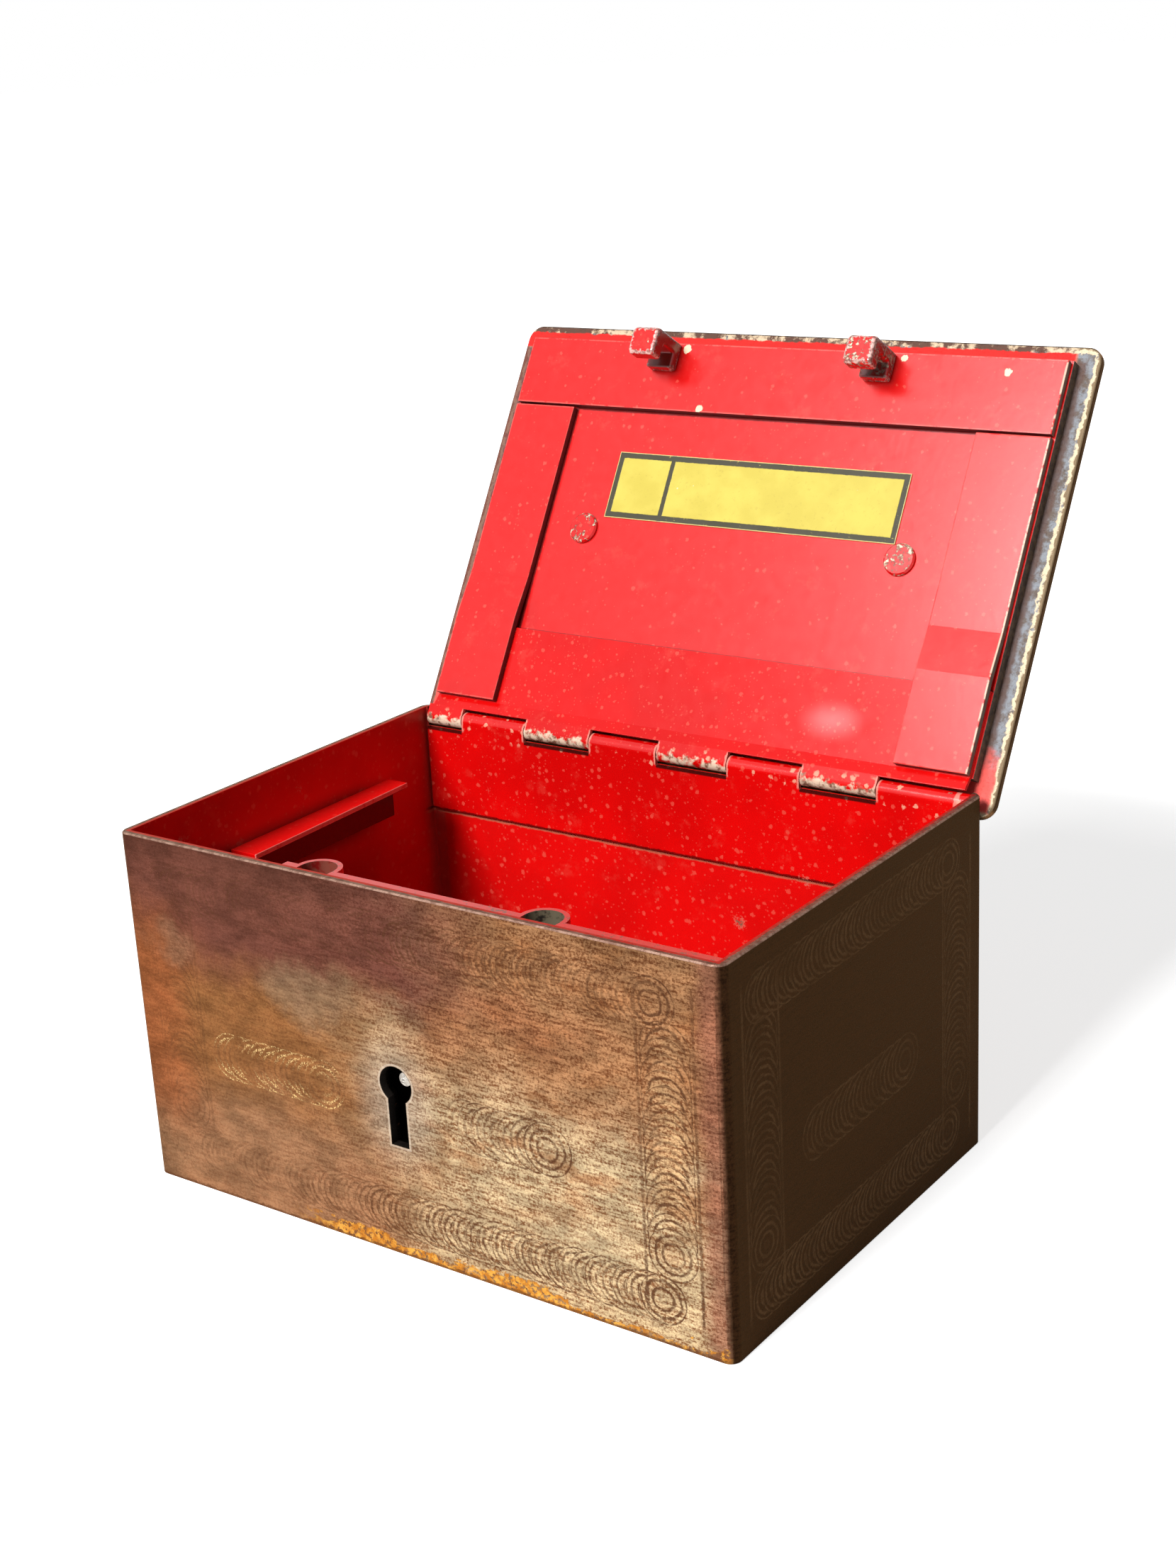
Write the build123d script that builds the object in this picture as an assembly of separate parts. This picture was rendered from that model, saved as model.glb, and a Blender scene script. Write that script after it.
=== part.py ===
from build123d import *
import math
import os

# Steel strongbox with a hinged lid, shown open.
# Millimetres. The origin is the centre of the underside, the front faces -Y and Z is up.
# Lid parts are drawn as if the lid were closed and are then turned open about the hinge.

os.makedirs("parts", exist_ok=True)

# Box
BOX_WIDTH = 200.0
BOX_DEPTH = 137.0
BOX_HEIGHT = 107.0
WALL = 2.5
CORNER_RADIUS = 3.2
RIM_CHAMFER = 0.4
BOTTOM_THICKNESS = 2.5

# Hinge
HINGE_INSET = 1.0
HINGE_DROP = 3.3
LEAF_THICKNESS = 1.25
PIN_RADIUS = 1.45
PIN_PLAY = 0.05
BARREL_END_GAP = 0.8
FIRST_KNUCKLE = 14.2
LAST_KNUCKLE = 28.6
KNUCKLE_COUNT = 8
KNUCKLE_GAP = 0.3
ROLL_SEAM = 0.4
LEAF_RECESS = 0.4
BOX_LEAF_HEIGHT = 31.1
LID_LEAF_REACH = 32.4
BARREL_CLEARANCE = 0.3
OPEN_ANGLE = 121.0

# Lid plates; a place along the lid is measured from the hinge axis towards the free edge
RIM_GAP = 0.3
COVER_THICKNESS = 3.0
COVER_OVERHANG = 2.2
COVER_FRONT_OVERHANG = 1.4
COVER_CORNER = 5.0
COVER_OUTER_ROUNDING = 1.1
COVER_INNER_CHAMFER = 0.5
INNER_THICKNESS = 3.8
INNER_SIDE_GAP = 1.9
INNER_FRONT_GAP = 2.0
INNER_REAR = 7.0
LEAF_BEND = 3.6
STRIP_THICKNESS = 2.2
STRIP_SET_BACK = 0.6
STRIP_WIDTH = 23.4
FRONT_STRIP_WIDTH = 22.6
STRIP_JOINT = 0.6
STRIP_REAR_GAP = 0.4
JOGGLE_GAP = 3.1
JOGGLE_LENGTH = 13.5

# Label on the lid
LABEL_WIDTH = 103.8
LABEL_LENGTH = 21.9
LABEL_OFFSET = 1.9
LABEL_PLACE = 83.2
LABEL_THICKNESS = 0.4

# Handle on the lid
HANDLE_HALF_SPAN = 56.6
HANDLE_PLACE = 67.8
PIVOT_HEIGHT = 7.0
HANDLE_PIN_RADIUS = 2.75
HANDLE_PIN_PLAY = 0.1
HANDLE_PIN_SETBACK = 1.0
BAIL_WIDTH = 6.5
BAIL_THICKNESS = 3.0
BAIL_EDGE_CHAMFER = 0.6
BAIL_SIDE_GAP = 0.5
BAIL_LENGTH = 32.0
BAIL_BEND = 7.0
BRACKET_WIDTH = 9.0
BRACKET_LENGTH = 14.0
BRACKET_FOOT = 3.0
BRACKET_EYE_WALL = 3.15
RIVET_RADIUS = 2.5
RIVET_HEAD_RADIUS = 5.0
RIVET_HEAD_HEIGHT = 1.2
RIVET_HEAD_CHAMFER = 0.5
RIVET_DEPTH_IN_BRACKET = 2.2

# Hooks
LEFT_HOOK = -41.0
RIGHT_HOOK = 35.5
HOOK_WIDTH = 9.5
HOOK_SET_BACK = 0.7
HOOK_LENGTH = 9.0
HOOK_ARM = 4.0
HOOK_HEIGHT = 15.0
HOOK_FOOT = 3.7
HOOK_MOUTH = 6.1
HOOK_ROUNDING = 1.0

# Lock
KEYHOLE_X = -3.8
KEYHOLE_Z = 51.5
KEYHOLE_RADIUS = 5.4
KEY_SLOT_WIDTH = 6.0
KEY_SLOT_DEPTH = 18.1
LOCK_SHEET = 1.5
LOCK_LEFT = -52.0
LOCK_RIGHT_GAP = 0.7
LOCK_BOTTOM = 28.0
LOCK_TOP_GAP = 0.7
LOCK_BASE_DROP = 3.1
HOOK_TIP_CLEARANCE = 1.0
HOOK_CLEARANCE = 0.8
HOOK_BOSS_RADIUS = 7.0
HOOK_BOSS_HEIGHT = 18.0
BOLT_THICKNESS = 4.0
BOLT_TRAVEL = 12.0
BOLT_HEIGHT = 17.0
BOLT_LEFT = -28.0
BOLT_RIGHT = 62.0
BOLT_TO_HOOK = 1.8
FINGER_NECK = 6.0
FINGER_PLAY = 0.6
FINGER_TO_HOOK = 0.75
TALON_WIDTH = 5.0
TALON_DEPTH = 1.9
DETENT_X = 12.0
DETENT_DEPTH = 0.8
DETENT_HALF_WIDTH = 2.0
DETENT_LIFT = 0.2
LEFT_STUD = -18.0
RIGHT_STUD = 38.0
STUD_RADIUS = 2.5
STUD_SHOULDER_RADIUS = 4.5
SLIDE_CLEARANCE = 0.3
CLIP_THICKNESS = 0.8
CLIP_PLAY = 0.05
SPRING_POST_X = -8.0
SPRING_POST_DROP = 8.2
SPRING_THICKNESS = 0.8
SPRING_EYE_PLAY = 0.05
POST_RADIUS = 3.7
POST_INSET = 5.4
SCREW_RADIUS = 1.5
SCREW_HOLE_PLAY = 0.15
SCREW_HEAD_RADIUS = 2.9
SCREW_HEAD_HEIGHT = 1.6
SCREW_LENGTH = 8.0
SCREW_SLOT = 0.8
DRILL_PIN_RADIUS = 2.0
DRILL_PIN_SETBACK = 4.0
DRILL_PIN_PLATE_WIDTH = 8.0
DRILL_PIN_PLATE = 1.5

# Ledges for a tray
LEDGE_DROP = 18.5
LEDGE_FRONT = -28.0
LEDGE_REAR = 44.5
LEDGE_WIDTH_FRONT = 10.0
LEDGE_WIDTH_REAR = 8.0
LEDGE_SHEET = 1.5
LEDGE_HEIGHT = 12.0

# How far a cutting shape runs past the surface it cuts
PAST = 1.0

# Places that follow from the sizes above
INNER_X = BOX_WIDTH / 2 - WALL
FRONT_INSIDE = -BOX_DEPTH / 2 + WALL
BACK_INSIDE = BOX_DEPTH / 2 - WALL
HINGE_Y = BOX_DEPTH / 2 - HINGE_INSET
HINGE_Z = BOX_HEIGHT - HINGE_DROP
HINGE_AXIS = Axis((0, HINGE_Y, HINGE_Z), (1, 0, 0))
EYE_RADIUS = PIN_RADIUS + PIN_PLAY
BARREL_RADIUS = EYE_RADIUS + LEAF_THICKNESS
BARREL_HALF_LENGTH = INNER_X - BARREL_END_GAP
KNUCKLE_PITCH = (2 * BARREL_HALF_LENGTH - FIRST_KNUCKLE - LAST_KNUCKLE) / (KNUCKLE_COUNT - 2)

# Depths in the lid, measured from the hinge axis towards the inside of the box
RIM_PLANE = -HINGE_DROP - RIM_GAP
PLATE_FACE = RIM_PLANE + INNER_THICKNESS
LEAF_FACE = PLATE_FACE + LEAF_THICKNESS
STRIP_FACE = PLATE_FACE + STRIP_THICKNESS
COVER_FACE = RIM_PLANE - COVER_THICKNESS
PIVOT_DEPTH = COVER_FACE - PIVOT_HEIGHT

# Places along and across the lid
INNER_HALF_WIDTH = INNER_X - INNER_SIDE_GAP
INNER_FRONT = HINGE_Y - FRONT_INSIDE - INNER_FRONT_GAP
STRIP_HALF_WIDTH = INNER_HALF_WIDTH - STRIP_SET_BACK
STRIP_FRONT = INNER_FRONT - STRIP_SET_BACK
FRONT_STRIP_REAR = STRIP_FRONT - FRONT_STRIP_WIDTH
JOGGLE_END = LID_LEAF_REACH + JOGGLE_GAP
JOGGLE_START = JOGGLE_END + JOGGLE_LENGTH
HOOK_BACK = STRIP_FRONT - HOOK_SET_BACK
HOOK_TIP = HOOK_BACK - HOOK_LENGTH

# Heights and depths of the lock, from where the hooks come down in it
LOCK_TOP = HINGE_Z - STRIP_FACE - LOCK_TOP_GAP
LOCK_RIGHT = INNER_X - LOCK_RIGHT_GAP
LOCK_BASE_FACE = FRONT_INSIDE + LOCK_SHEET
LOCK_INSIDE = HINGE_Y - HOOK_TIP + HOOK_TIP_CLEARANCE
LOCK_FACE = LOCK_INSIDE + LOCK_SHEET
MOUTH_HIGH = HINGE_Z - STRIP_FACE - HOOK_FOOT
MOUTH_LOW = MOUTH_HIGH - HOOK_MOUTH
HOOK_LOW = HINGE_Z - STRIP_FACE - HOOK_HEIGHT
FINGER_HIGH = MOUTH_HIGH - FINGER_PLAY
FINGER_LOW = MOUTH_LOW + FINGER_PLAY
BOLT_TOP = HOOK_LOW - BOLT_TO_HOOK
BOLT_BOTTOM = BOLT_TOP - BOLT_HEIGHT
BOLT_FRONT = HINGE_Y - HOOK_BACK + HOOK_ARM + FINGER_PLAY
BOLT_BACK = BOLT_FRONT + BOLT_THICKNESS
STUD_Z = (BOLT_TOP + BOLT_BOTTOM) / 2
SPRING_POST_Z = LOCK_TOP - SPRING_POST_DROP


def block(x0, x1, y0, y1, z0, z1):
    centre = Pos((x0 + x1) / 2, (y0 + y1) / 2, (z0 + z1) / 2)
    return centre * Box(x1 - x0, y1 - y0, z1 - z0)


def lid_block(x0, x1, u0, u1, n0, n1):
    return block(x0, x1, HINGE_Y - u1, HINGE_Y - u0, HINGE_Z - n1, HINGE_Z - n0)


def bar_along_x(x0, x1, y, z, radius):
    return Pos((x0 + x1) / 2, y, z) * Rot(0, 90, 0) * Cylinder(radius, x1 - x0)


def bar_along_y(y0, y1, x, z, radius):
    return Pos(x, (y0 + y1) / 2, z) * Rot(90, 0, 0) * Cylinder(radius, y1 - y0)


def lid_prism(points, x0, x1):
    corners = [(HINGE_Y - u, HINGE_Z - n) for u, n in points]
    face = Plane.YZ.offset(x0) * Polygon(*corners, align=None)
    return extrude(face, x1 - x0, dir=(1, 0, 0))


def front_prism(points, y0, y1):
    face = Plane.XZ.offset(-y1) * Polygon(*points, align=None)
    return extrude(face, y1 - y0, dir=(0, -1, 0))


def lid_open(shape):
    return shape.rotate(HINGE_AXIS, -OPEN_ANGLE)


def save(shape, name):
    export_step(shape, "parts/" + name + ".step")


# Hinge knuckles
def knuckle_ends():
    first_end = -BARREL_HALF_LENGTH + FIRST_KNUCKLE
    ends = [-BARREL_HALF_LENGTH]
    for i in range(KNUCKLE_COUNT - 1):
        ends.append(first_end + i * KNUCKLE_PITCH)
    ends.append(BARREL_HALF_LENGTH)
    return ends


def knuckle_spans(first):
    ends = knuckle_ends()
    spans = []
    for i in range(first, KNUCKLE_COUNT, 2):
        spans.append((ends[i] + KNUCKLE_GAP / 2, ends[i + 1] - KNUCKLE_GAP / 2))
    return spans


def knuckle(x0, x1):
    outside = bar_along_x(x0, x1, HINGE_Y, HINGE_Z, BARREL_RADIUS)
    return outside - bar_along_x(x0 - PAST, x1 + PAST, HINGE_Y, HINGE_Z, EYE_RADIUS)


# Box
def body_shell():
    outside = extrude(RectangleRounded(BOX_WIDTH, BOX_DEPTH, CORNER_RADIUS), BOX_HEIGHT)
    rim = outside.faces().sort_by(Axis.Z)[-1].edges()
    outside = chamfer(rim, RIM_CHAMFER)
    hollow = extrude(inside_outline(), BOX_HEIGHT)
    low = HINGE_Z - BARREL_RADIUS - BARREL_CLEARANCE
    high = BOX_HEIGHT + PAST
    half = BARREL_HALF_LENGTH + LEAF_RECESS
    notch = block(-half, half, BACK_INSIDE - PAST, BOX_DEPTH / 2 + PAST, low, high)
    return outside - hollow - notch - keyhole(0)


def inside_outline():
    return RectangleRounded(BOX_WIDTH - 2 * WALL, BOX_DEPTH - 2 * WALL, CORNER_RADIUS - WALL)


def keyhole(extra):
    front = -BOX_DEPTH / 2 - PAST
    back = LOCK_BASE_FACE + PAST
    round_part = bar_along_y(front, back, KEYHOLE_X, KEYHOLE_Z, KEYHOLE_RADIUS + extra)
    half = KEY_SLOT_WIDTH / 2 + extra
    low = KEYHOLE_Z - KEY_SLOT_DEPTH - extra
    slot = block(KEYHOLE_X - half, KEYHOLE_X + half, front, back, low, KEYHOLE_Z)
    return round_part + slot


def bottom_plate():
    return extrude(inside_outline(), BOTTOM_THICKNESS)


def box_leaf():
    half = BARREL_HALF_LENGTH
    front = HINGE_Y - BARREL_RADIUS
    back = front + LEAF_THICKNESS
    leaf = block(-half, half, front, back, HINGE_Z - BOX_LEAF_HEIGHT, HINGE_Z)
    recess_low = HINGE_Z - BARREL_RADIUS - LEAF_RECESS
    for x0, x1 in knuckle_spans(0):
        left = x0 - KNUCKLE_GAP
        right = x1 + KNUCKLE_GAP
        leaf -= block(left, right, front - PAST, back + PAST, recess_low, HINGE_Z + PAST)
    seam_low = HINGE_Z - BARREL_RADIUS - PAST
    seam_high = HINGE_Z - EYE_RADIUS / 2
    for x0, x1 in knuckle_spans(1):
        seam = block(x0 - PAST, x1 + PAST, back, back + ROLL_SEAM, seam_low, seam_high)
        leaf += knuckle(x0, x1) - seam
    return leaf


def hinge_pin():
    return bar_along_x(-BARREL_HALF_LENGTH, BARREL_HALF_LENGTH, HINGE_Y, HINGE_Z, PIN_RADIUS)


def tray_ledge(side):
    wall_x = side * INNER_X
    low = BOX_HEIGHT - LEDGE_DROP - LEDGE_SHEET
    outline = Polygon(
        (wall_x, LEDGE_FRONT),
        (wall_x - side * LEDGE_WIDTH_FRONT, LEDGE_FRONT),
        (wall_x - side * LEDGE_WIDTH_REAR, LEDGE_REAR),
        (wall_x, LEDGE_REAR),
        align=None,
    )
    shelf = extrude(Plane.XY.offset(low) * outline, LEDGE_SHEET, dir=(0, 0, 1))
    left, right = sorted((wall_x, wall_x - side * LEDGE_SHEET))
    flange_low = low + LEDGE_SHEET - LEDGE_HEIGHT
    return shelf + block(left, right, LEDGE_FRONT, LEDGE_REAR, flange_low, low)


# Lock
def lock_base():
    top = LOCK_TOP - LOCK_BASE_DROP
    plate = block(LOCK_LEFT, LOCK_RIGHT, FRONT_INSIDE, LOCK_BASE_FACE, LOCK_BOTTOM, top)
    return plate - keyhole(SLIDE_CLEARANCE)


def lock_cover():
    cover = block(LOCK_LEFT, LOCK_RIGHT, LOCK_BASE_FACE, LOCK_FACE, LOCK_BOTTOM, LOCK_TOP)
    for hook_x in (LEFT_HOOK, RIGHT_HOOK):
        cover += hook_boss(hook_x, HOOK_BOSS_RADIUS, LOCK_TOP - HOOK_BOSS_HEIGHT, LOCK_TOP)
    cover -= block(
        LOCK_LEFT + LOCK_SHEET,
        LOCK_RIGHT - LOCK_SHEET,
        FRONT_INSIDE - PAST,
        LOCK_INSIDE,
        LOCK_BOTTOM + LOCK_SHEET,
        LOCK_TOP - LOCK_SHEET,
    )
    half = HOOK_WIDTH / 2 + HOOK_CLEARANCE
    top_low = LOCK_TOP - LOCK_SHEET - PAST
    boss_low = LOCK_TOP - HOOK_BOSS_HEIGHT + LOCK_SHEET
    high = LOCK_TOP + PAST
    for hook_x in (LEFT_HOOK, RIGHT_HOOK):
        left = hook_x - half
        right = hook_x + half
        cover -= block(left, right, FRONT_INSIDE - PAST, LOCK_FACE, top_low, high)
        cover -= hook_boss(hook_x, HOOK_BOSS_RADIUS - LOCK_SHEET, boss_low, high)
    back = LOCK_FACE + PAST
    for x, z in post_places():
        cover -= bar_along_y(LOCK_INSIDE - PAST, back, x, z, SCREW_RADIUS + SCREW_HOLE_PLAY)
    return cover - bar_along_y(LOCK_INSIDE - PAST, back, KEYHOLE_X, KEYHOLE_Z, DRILL_PIN_RADIUS)


# Half-round swelling in the lock cover behind a hook
def hook_boss(x, radius, low, high):
    return Pos(x, LOCK_FACE, (low + high) / 2) * Cylinder(radius, high - low)


def post_places():
    left = LOCK_LEFT + POST_INSET
    right = LOCK_RIGHT - POST_INSET
    low = LOCK_BOTTOM + POST_INSET
    return [(left, low), (right, low), (left, BOLT_BOTTOM + POST_INSET), (right, BOLT_TOP)]


def lock_posts():
    posts = []
    hole_end = LOCK_FACE - SCREW_LENGTH - PAST
    for x, z in post_places():
        hexagon = Plane.XZ.offset(-LOCK_INSIDE) * Pos(x, z) * RegularPolygon(POST_RADIUS, 6)
        post = extrude(hexagon, LOCK_INSIDE - LOCK_BASE_FACE, dir=(0, -1, 0))
        posts.append(post - bar_along_y(hole_end, LOCK_INSIDE + PAST, x, z, SCREW_RADIUS))
    return Compound(children=posts)


def cover_screws():
    screws = []
    for x, z in post_places():
        head_end = LOCK_FACE + SCREW_HEAD_HEIGHT
        screw = bar_along_y(LOCK_FACE, head_end, x, z, SCREW_HEAD_RADIUS)
        screw += bar_along_y(LOCK_FACE - SCREW_LENGTH, LOCK_FACE, x, z, SCREW_RADIUS)
        half = SCREW_SLOT / 2
        reach = SCREW_HEAD_RADIUS + PAST
        screw -= block(x - reach, x + reach, head_end - SCREW_SLOT, head_end + PAST, z - half, z + half)
        screws.append(screw)
    return Compound(children=screws)


def drill_pin():
    tip = -BOX_DEPTH / 2 + DRILL_PIN_SETBACK
    pin = bar_along_y(tip, LOCK_FACE, KEYHOLE_X, KEYHOLE_Z, DRILL_PIN_RADIUS)
    half = DRILL_PIN_PLATE_WIDTH / 2
    left = KEYHOLE_X - half
    right = KEYHOLE_X + half
    front = LOCK_INSIDE - DRILL_PIN_PLATE
    return pin + block(left, right, front, LOCK_INSIDE, KEYHOLE_Z - half, KEYHOLE_Z + half)


def guide_studs():
    studs = []
    shoulder_end = BOLT_FRONT - SLIDE_CLEARANCE
    for x in (LEFT_STUD, RIGHT_STUD):
        place = Plane.XZ.offset(-LOCK_BASE_FACE) * Pos(x, STUD_Z)
        hexagon = place * RegularPolygon(STUD_SHOULDER_RADIUS, 6)
        stud = extrude(hexagon, shoulder_end - LOCK_BASE_FACE, dir=(0, 1, 0))
        stud += bar_along_y(shoulder_end, LOCK_INSIDE - SLIDE_CLEARANCE, x, STUD_Z, STUD_RADIUS)
        studs.append(stud)
    return Compound(children=studs)


def stud_clips():
    clips = []
    start = BOLT_BACK + SLIDE_CLEARANCE
    end = start + CLIP_THICKNESS
    half = STUD_SHOULDER_RADIUS
    for x in (LEFT_STUD, RIGHT_STUD):
        clip = block(x - half, x + half, start, end, STUD_Z - half, STUD_Z + half)
        clips.append(clip - bar_along_y(start - PAST, end + PAST, x, STUD_Z, STUD_RADIUS + CLIP_PLAY))
    return Compound(children=clips)


def bolt_bar():
    front = BOLT_FRONT - PAST
    back = BOLT_BACK + PAST
    bar = block(BOLT_LEFT, BOLT_RIGHT, BOLT_FRONT, BOLT_BACK, BOLT_BOTTOM, BOLT_TOP)
    for hook_x in (LEFT_HOOK, RIGHT_HOOK):
        tip = hook_x + HOOK_WIDTH / 2 + FINGER_TO_HOOK
        neck = tip + BOLT_TRAVEL
        bar += block(tip, neck + FINGER_NECK, BOLT_FRONT, BOLT_BACK, FINGER_LOW, FINGER_HIGH)
        bar += block(neck, neck + FINGER_NECK, BOLT_FRONT, BOLT_BACK, BOLT_TOP, FINGER_LOW)
    slot_radius = STUD_RADIUS + SLIDE_CLEARANCE
    for x in (LEFT_STUD, RIGHT_STUD):
        bar -= bar_along_y(front, back, x, STUD_Z, slot_radius)
        bar -= bar_along_y(front, back, x + BOLT_TRAVEL, STUD_Z, slot_radius)
        bar -= block(x, x + BOLT_TRAVEL, front, back, STUD_Z - slot_radius, STUD_Z + slot_radius)
    talon_x = KEYHOLE_X + BOLT_TRAVEL / 2
    talon_half = TALON_WIDTH / 2
    talon_low = BOLT_BOTTOM - PAST
    talon_high = BOLT_BOTTOM + TALON_DEPTH
    bar -= block(talon_x - talon_half, talon_x + talon_half, front, back, talon_low, talon_high)
    for x in (DETENT_X, DETENT_X + BOLT_TRAVEL):
        notch = [
            (x - DETENT_HALF_WIDTH, BOLT_TOP),
            (x, BOLT_TOP - DETENT_DEPTH),
            (x + DETENT_HALF_WIDTH, BOLT_TOP),
        ]
        bar -= front_prism(notch, front, back)
    return bar


def spring_post():
    end = LOCK_INSIDE - SLIDE_CLEARANCE
    return bar_along_y(LOCK_BASE_FACE, end, SPRING_POST_X, SPRING_POST_Z, STUD_RADIUS)


def bolt_spring():
    eye_inner = STUD_RADIUS + SPRING_EYE_PLAY
    eye_outer = eye_inner + SPRING_THICKNESS
    front = BOLT_FRONT
    back = BOLT_BACK
    eye = bar_along_y(front, back, SPRING_POST_X, SPRING_POST_Z, eye_outer)
    tip = BOLT_TOP + DETENT_LIFT
    eye_low = SPRING_POST_Z - eye_outer
    eye_high = SPRING_POST_Z + eye_outer
    thick = SPRING_THICKNESS
    half = DETENT_HALF_WIDTH
    lower_arm = [
        (SPRING_POST_X, eye_low),
        (DETENT_X - half, tip + half),
        (DETENT_X, tip),
        (DETENT_X + half * 2, tip + half * 2),
        (DETENT_X + half * 2 - thick, tip + half * 2 + thick),
        (DETENT_X, tip + thick * 1.4),
        (DETENT_X - half, tip + half + thick),
        (SPRING_POST_X, eye_low + thick),
    ]
    arm_end = DETENT_X + half * 3
    arm_high = LOCK_TOP - LOCK_SHEET - SLIDE_CLEARANCE
    upper_arm = [
        (SPRING_POST_X, eye_high - thick),
        (arm_end, arm_high - thick),
        (arm_end, arm_high),
        (SPRING_POST_X, eye_high),
    ]
    spring = eye + front_prism(lower_arm, front, back) + front_prism(upper_arm, front, back)
    return spring - bar_along_y(front - PAST, back + PAST, SPRING_POST_X, SPRING_POST_Z, eye_inner)


# Lid
def lid_cover():
    rear = BOX_DEPTH / 2 + COVER_OVERHANG
    front = -BOX_DEPTH / 2 - COVER_FRONT_OVERHANG
    width = BOX_WIDTH + 2 * COVER_OVERHANG
    outline = Pos(0, (rear + front) / 2) * RectangleRounded(width, rear - front, COVER_CORNER)
    cover = extrude(Plane.XY.offset(HINGE_Z - RIM_PLANE) * outline, COVER_THICKNESS)
    faces = cover.faces().sort_by(Axis.Z)
    cover = fillet(faces[-1].edges(), COVER_OUTER_ROUNDING)
    inner_edges = cover.faces().sort_by(Axis.Z)[0].edges()
    cover = chamfer(inner_edges, COVER_INNER_CHAMFER)
    return cover - handle_rivet_holes()


def lid_inner_plate():
    half = INNER_HALF_WIDTH
    plate = lid_block(-half, half, INNER_REAR, INNER_FRONT, RIM_PLANE, PLATE_FACE)
    return plate - handle_rivet_holes()


def handle_rivet_holes():
    y = HINGE_Y - HANDLE_PLACE
    low = HINGE_Z - PLATE_FACE - PAST
    high = HINGE_Z - COVER_FACE + RIVET_DEPTH_IN_BRACKET
    holes = []
    for x in (-HANDLE_HALF_SPAN, HANDLE_HALF_SPAN):
        holes.append(Pos(x, y, (low + high) / 2) * Cylinder(RIVET_RADIUS, high - low))
    return Compound(children=holes)


def front_strip():
    half = STRIP_HALF_WIDTH
    return lid_block(-half, half, FRONT_STRIP_REAR, STRIP_FRONT, PLATE_FACE, STRIP_FACE)


def side_strip(side):
    front = FRONT_STRIP_REAR - STRIP_JOINT
    rear = INNER_REAR + STRIP_REAR_GAP
    profile = [
        (front, PLATE_FACE),
        (front, STRIP_FACE),
        (JOGGLE_START, STRIP_FACE),
        (JOGGLE_END, LEAF_FACE + STRIP_THICKNESS),
        (rear, LEAF_FACE + STRIP_THICKNESS),
        (rear, LEAF_FACE),
        (JOGGLE_END, LEAF_FACE),
        (JOGGLE_START, PLATE_FACE),
    ]
    ends = sorted((side * (STRIP_HALF_WIDTH - STRIP_WIDTH), side * STRIP_HALF_WIDTH))
    return lid_prism(profile, ends[0], ends[1])


def lid_leaf():
    bend = INNER_REAR - LEAF_BEND
    profile = [
        (0, EYE_RADIUS),
        (0, BARREL_RADIUS),
        (bend, BARREL_RADIUS),
        (INNER_REAR, LEAF_FACE),
        (LID_LEAF_REACH, LEAF_FACE),
        (LID_LEAF_REACH, PLATE_FACE),
        (INNER_REAR, PLATE_FACE),
        (bend, EYE_RADIUS),
    ]
    leaf = lid_prism(profile, -STRIP_HALF_WIDTH, STRIP_HALF_WIDTH)
    recess_end = BARREL_RADIUS + LEAF_RECESS
    for x0, x1 in knuckle_spans(1):
        left = x0 - KNUCKLE_GAP
        right = x1 + KNUCKLE_GAP
        leaf -= lid_block(left, right, -PAST, recess_end, 0, BARREL_RADIUS + PAST)
    first_end = -BARREL_HALF_LENGTH + KNUCKLE_GAP / 2
    leaf += lid_block(first_end, -STRIP_HALF_WIDTH, 0, bend, EYE_RADIUS, BARREL_RADIUS)
    for x0, x1 in knuckle_spans(0):
        seam_end = EYE_RADIUS - ROLL_SEAM
        seam_far = BARREL_RADIUS + PAST
        seam = lid_block(x0 - PAST, x1 + PAST, EYE_RADIUS / 2, seam_far, seam_end, EYE_RADIUS)
        leaf += knuckle(x0, x1) - seam
    return leaf


def hook(x):
    top = STRIP_FACE + HOOK_HEIGHT
    mouth_low = STRIP_FACE + HOOK_FOOT
    mouth_high = mouth_low + HOOK_MOUTH
    arm = HOOK_BACK - HOOK_ARM
    profile = [
        (HOOK_TIP, STRIP_FACE),
        (HOOK_BACK, STRIP_FACE),
        (HOOK_BACK, top - HOOK_ROUNDING),
        (HOOK_BACK - HOOK_ROUNDING, top),
        (HOOK_TIP + HOOK_ROUNDING, top),
        (HOOK_TIP, top - HOOK_ROUNDING),
        (HOOK_TIP, mouth_high),
        (arm, mouth_high),
        (arm, mouth_low),
        (HOOK_TIP, mouth_low),
    ]
    return lid_prism(profile, x - HOOK_WIDTH / 2, x + HOOK_WIDTH / 2)


def label_plate():
    left = LABEL_OFFSET - LABEL_WIDTH / 2
    rear = LABEL_PLACE - LABEL_LENGTH / 2
    face = PLATE_FACE + LABEL_THICKNESS
    return lid_block(left, left + LABEL_WIDTH, rear, rear + LABEL_LENGTH, PLATE_FACE, face)


# Handle
def handle_bracket(x):
    y = HINGE_Y - HANDLE_PLACE
    face = HINGE_Z - COVER_FACE
    half = BRACKET_WIDTH / 2
    pivot = HINGE_Z - PIVOT_DEPTH
    eye_radius = HANDLE_PIN_RADIUS + HANDLE_PIN_PLAY + BRACKET_EYE_WALL
    half_length = BRACKET_LENGTH / 2
    foot = block(x - half, x + half, y - half_length, y + half_length, face, face + BRACKET_FOOT)
    cheek = block(x - half, x + half, y - eye_radius, y + eye_radius, face, pivot)
    eye = bar_along_x(x - half, x + half, y, pivot, eye_radius)
    bore = bar_along_x(x - half - PAST, x + half + PAST, y, pivot, HANDLE_PIN_RADIUS + HANDLE_PIN_PLAY)
    return foot + cheek + eye - bore - handle_rivet_holes()


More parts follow.
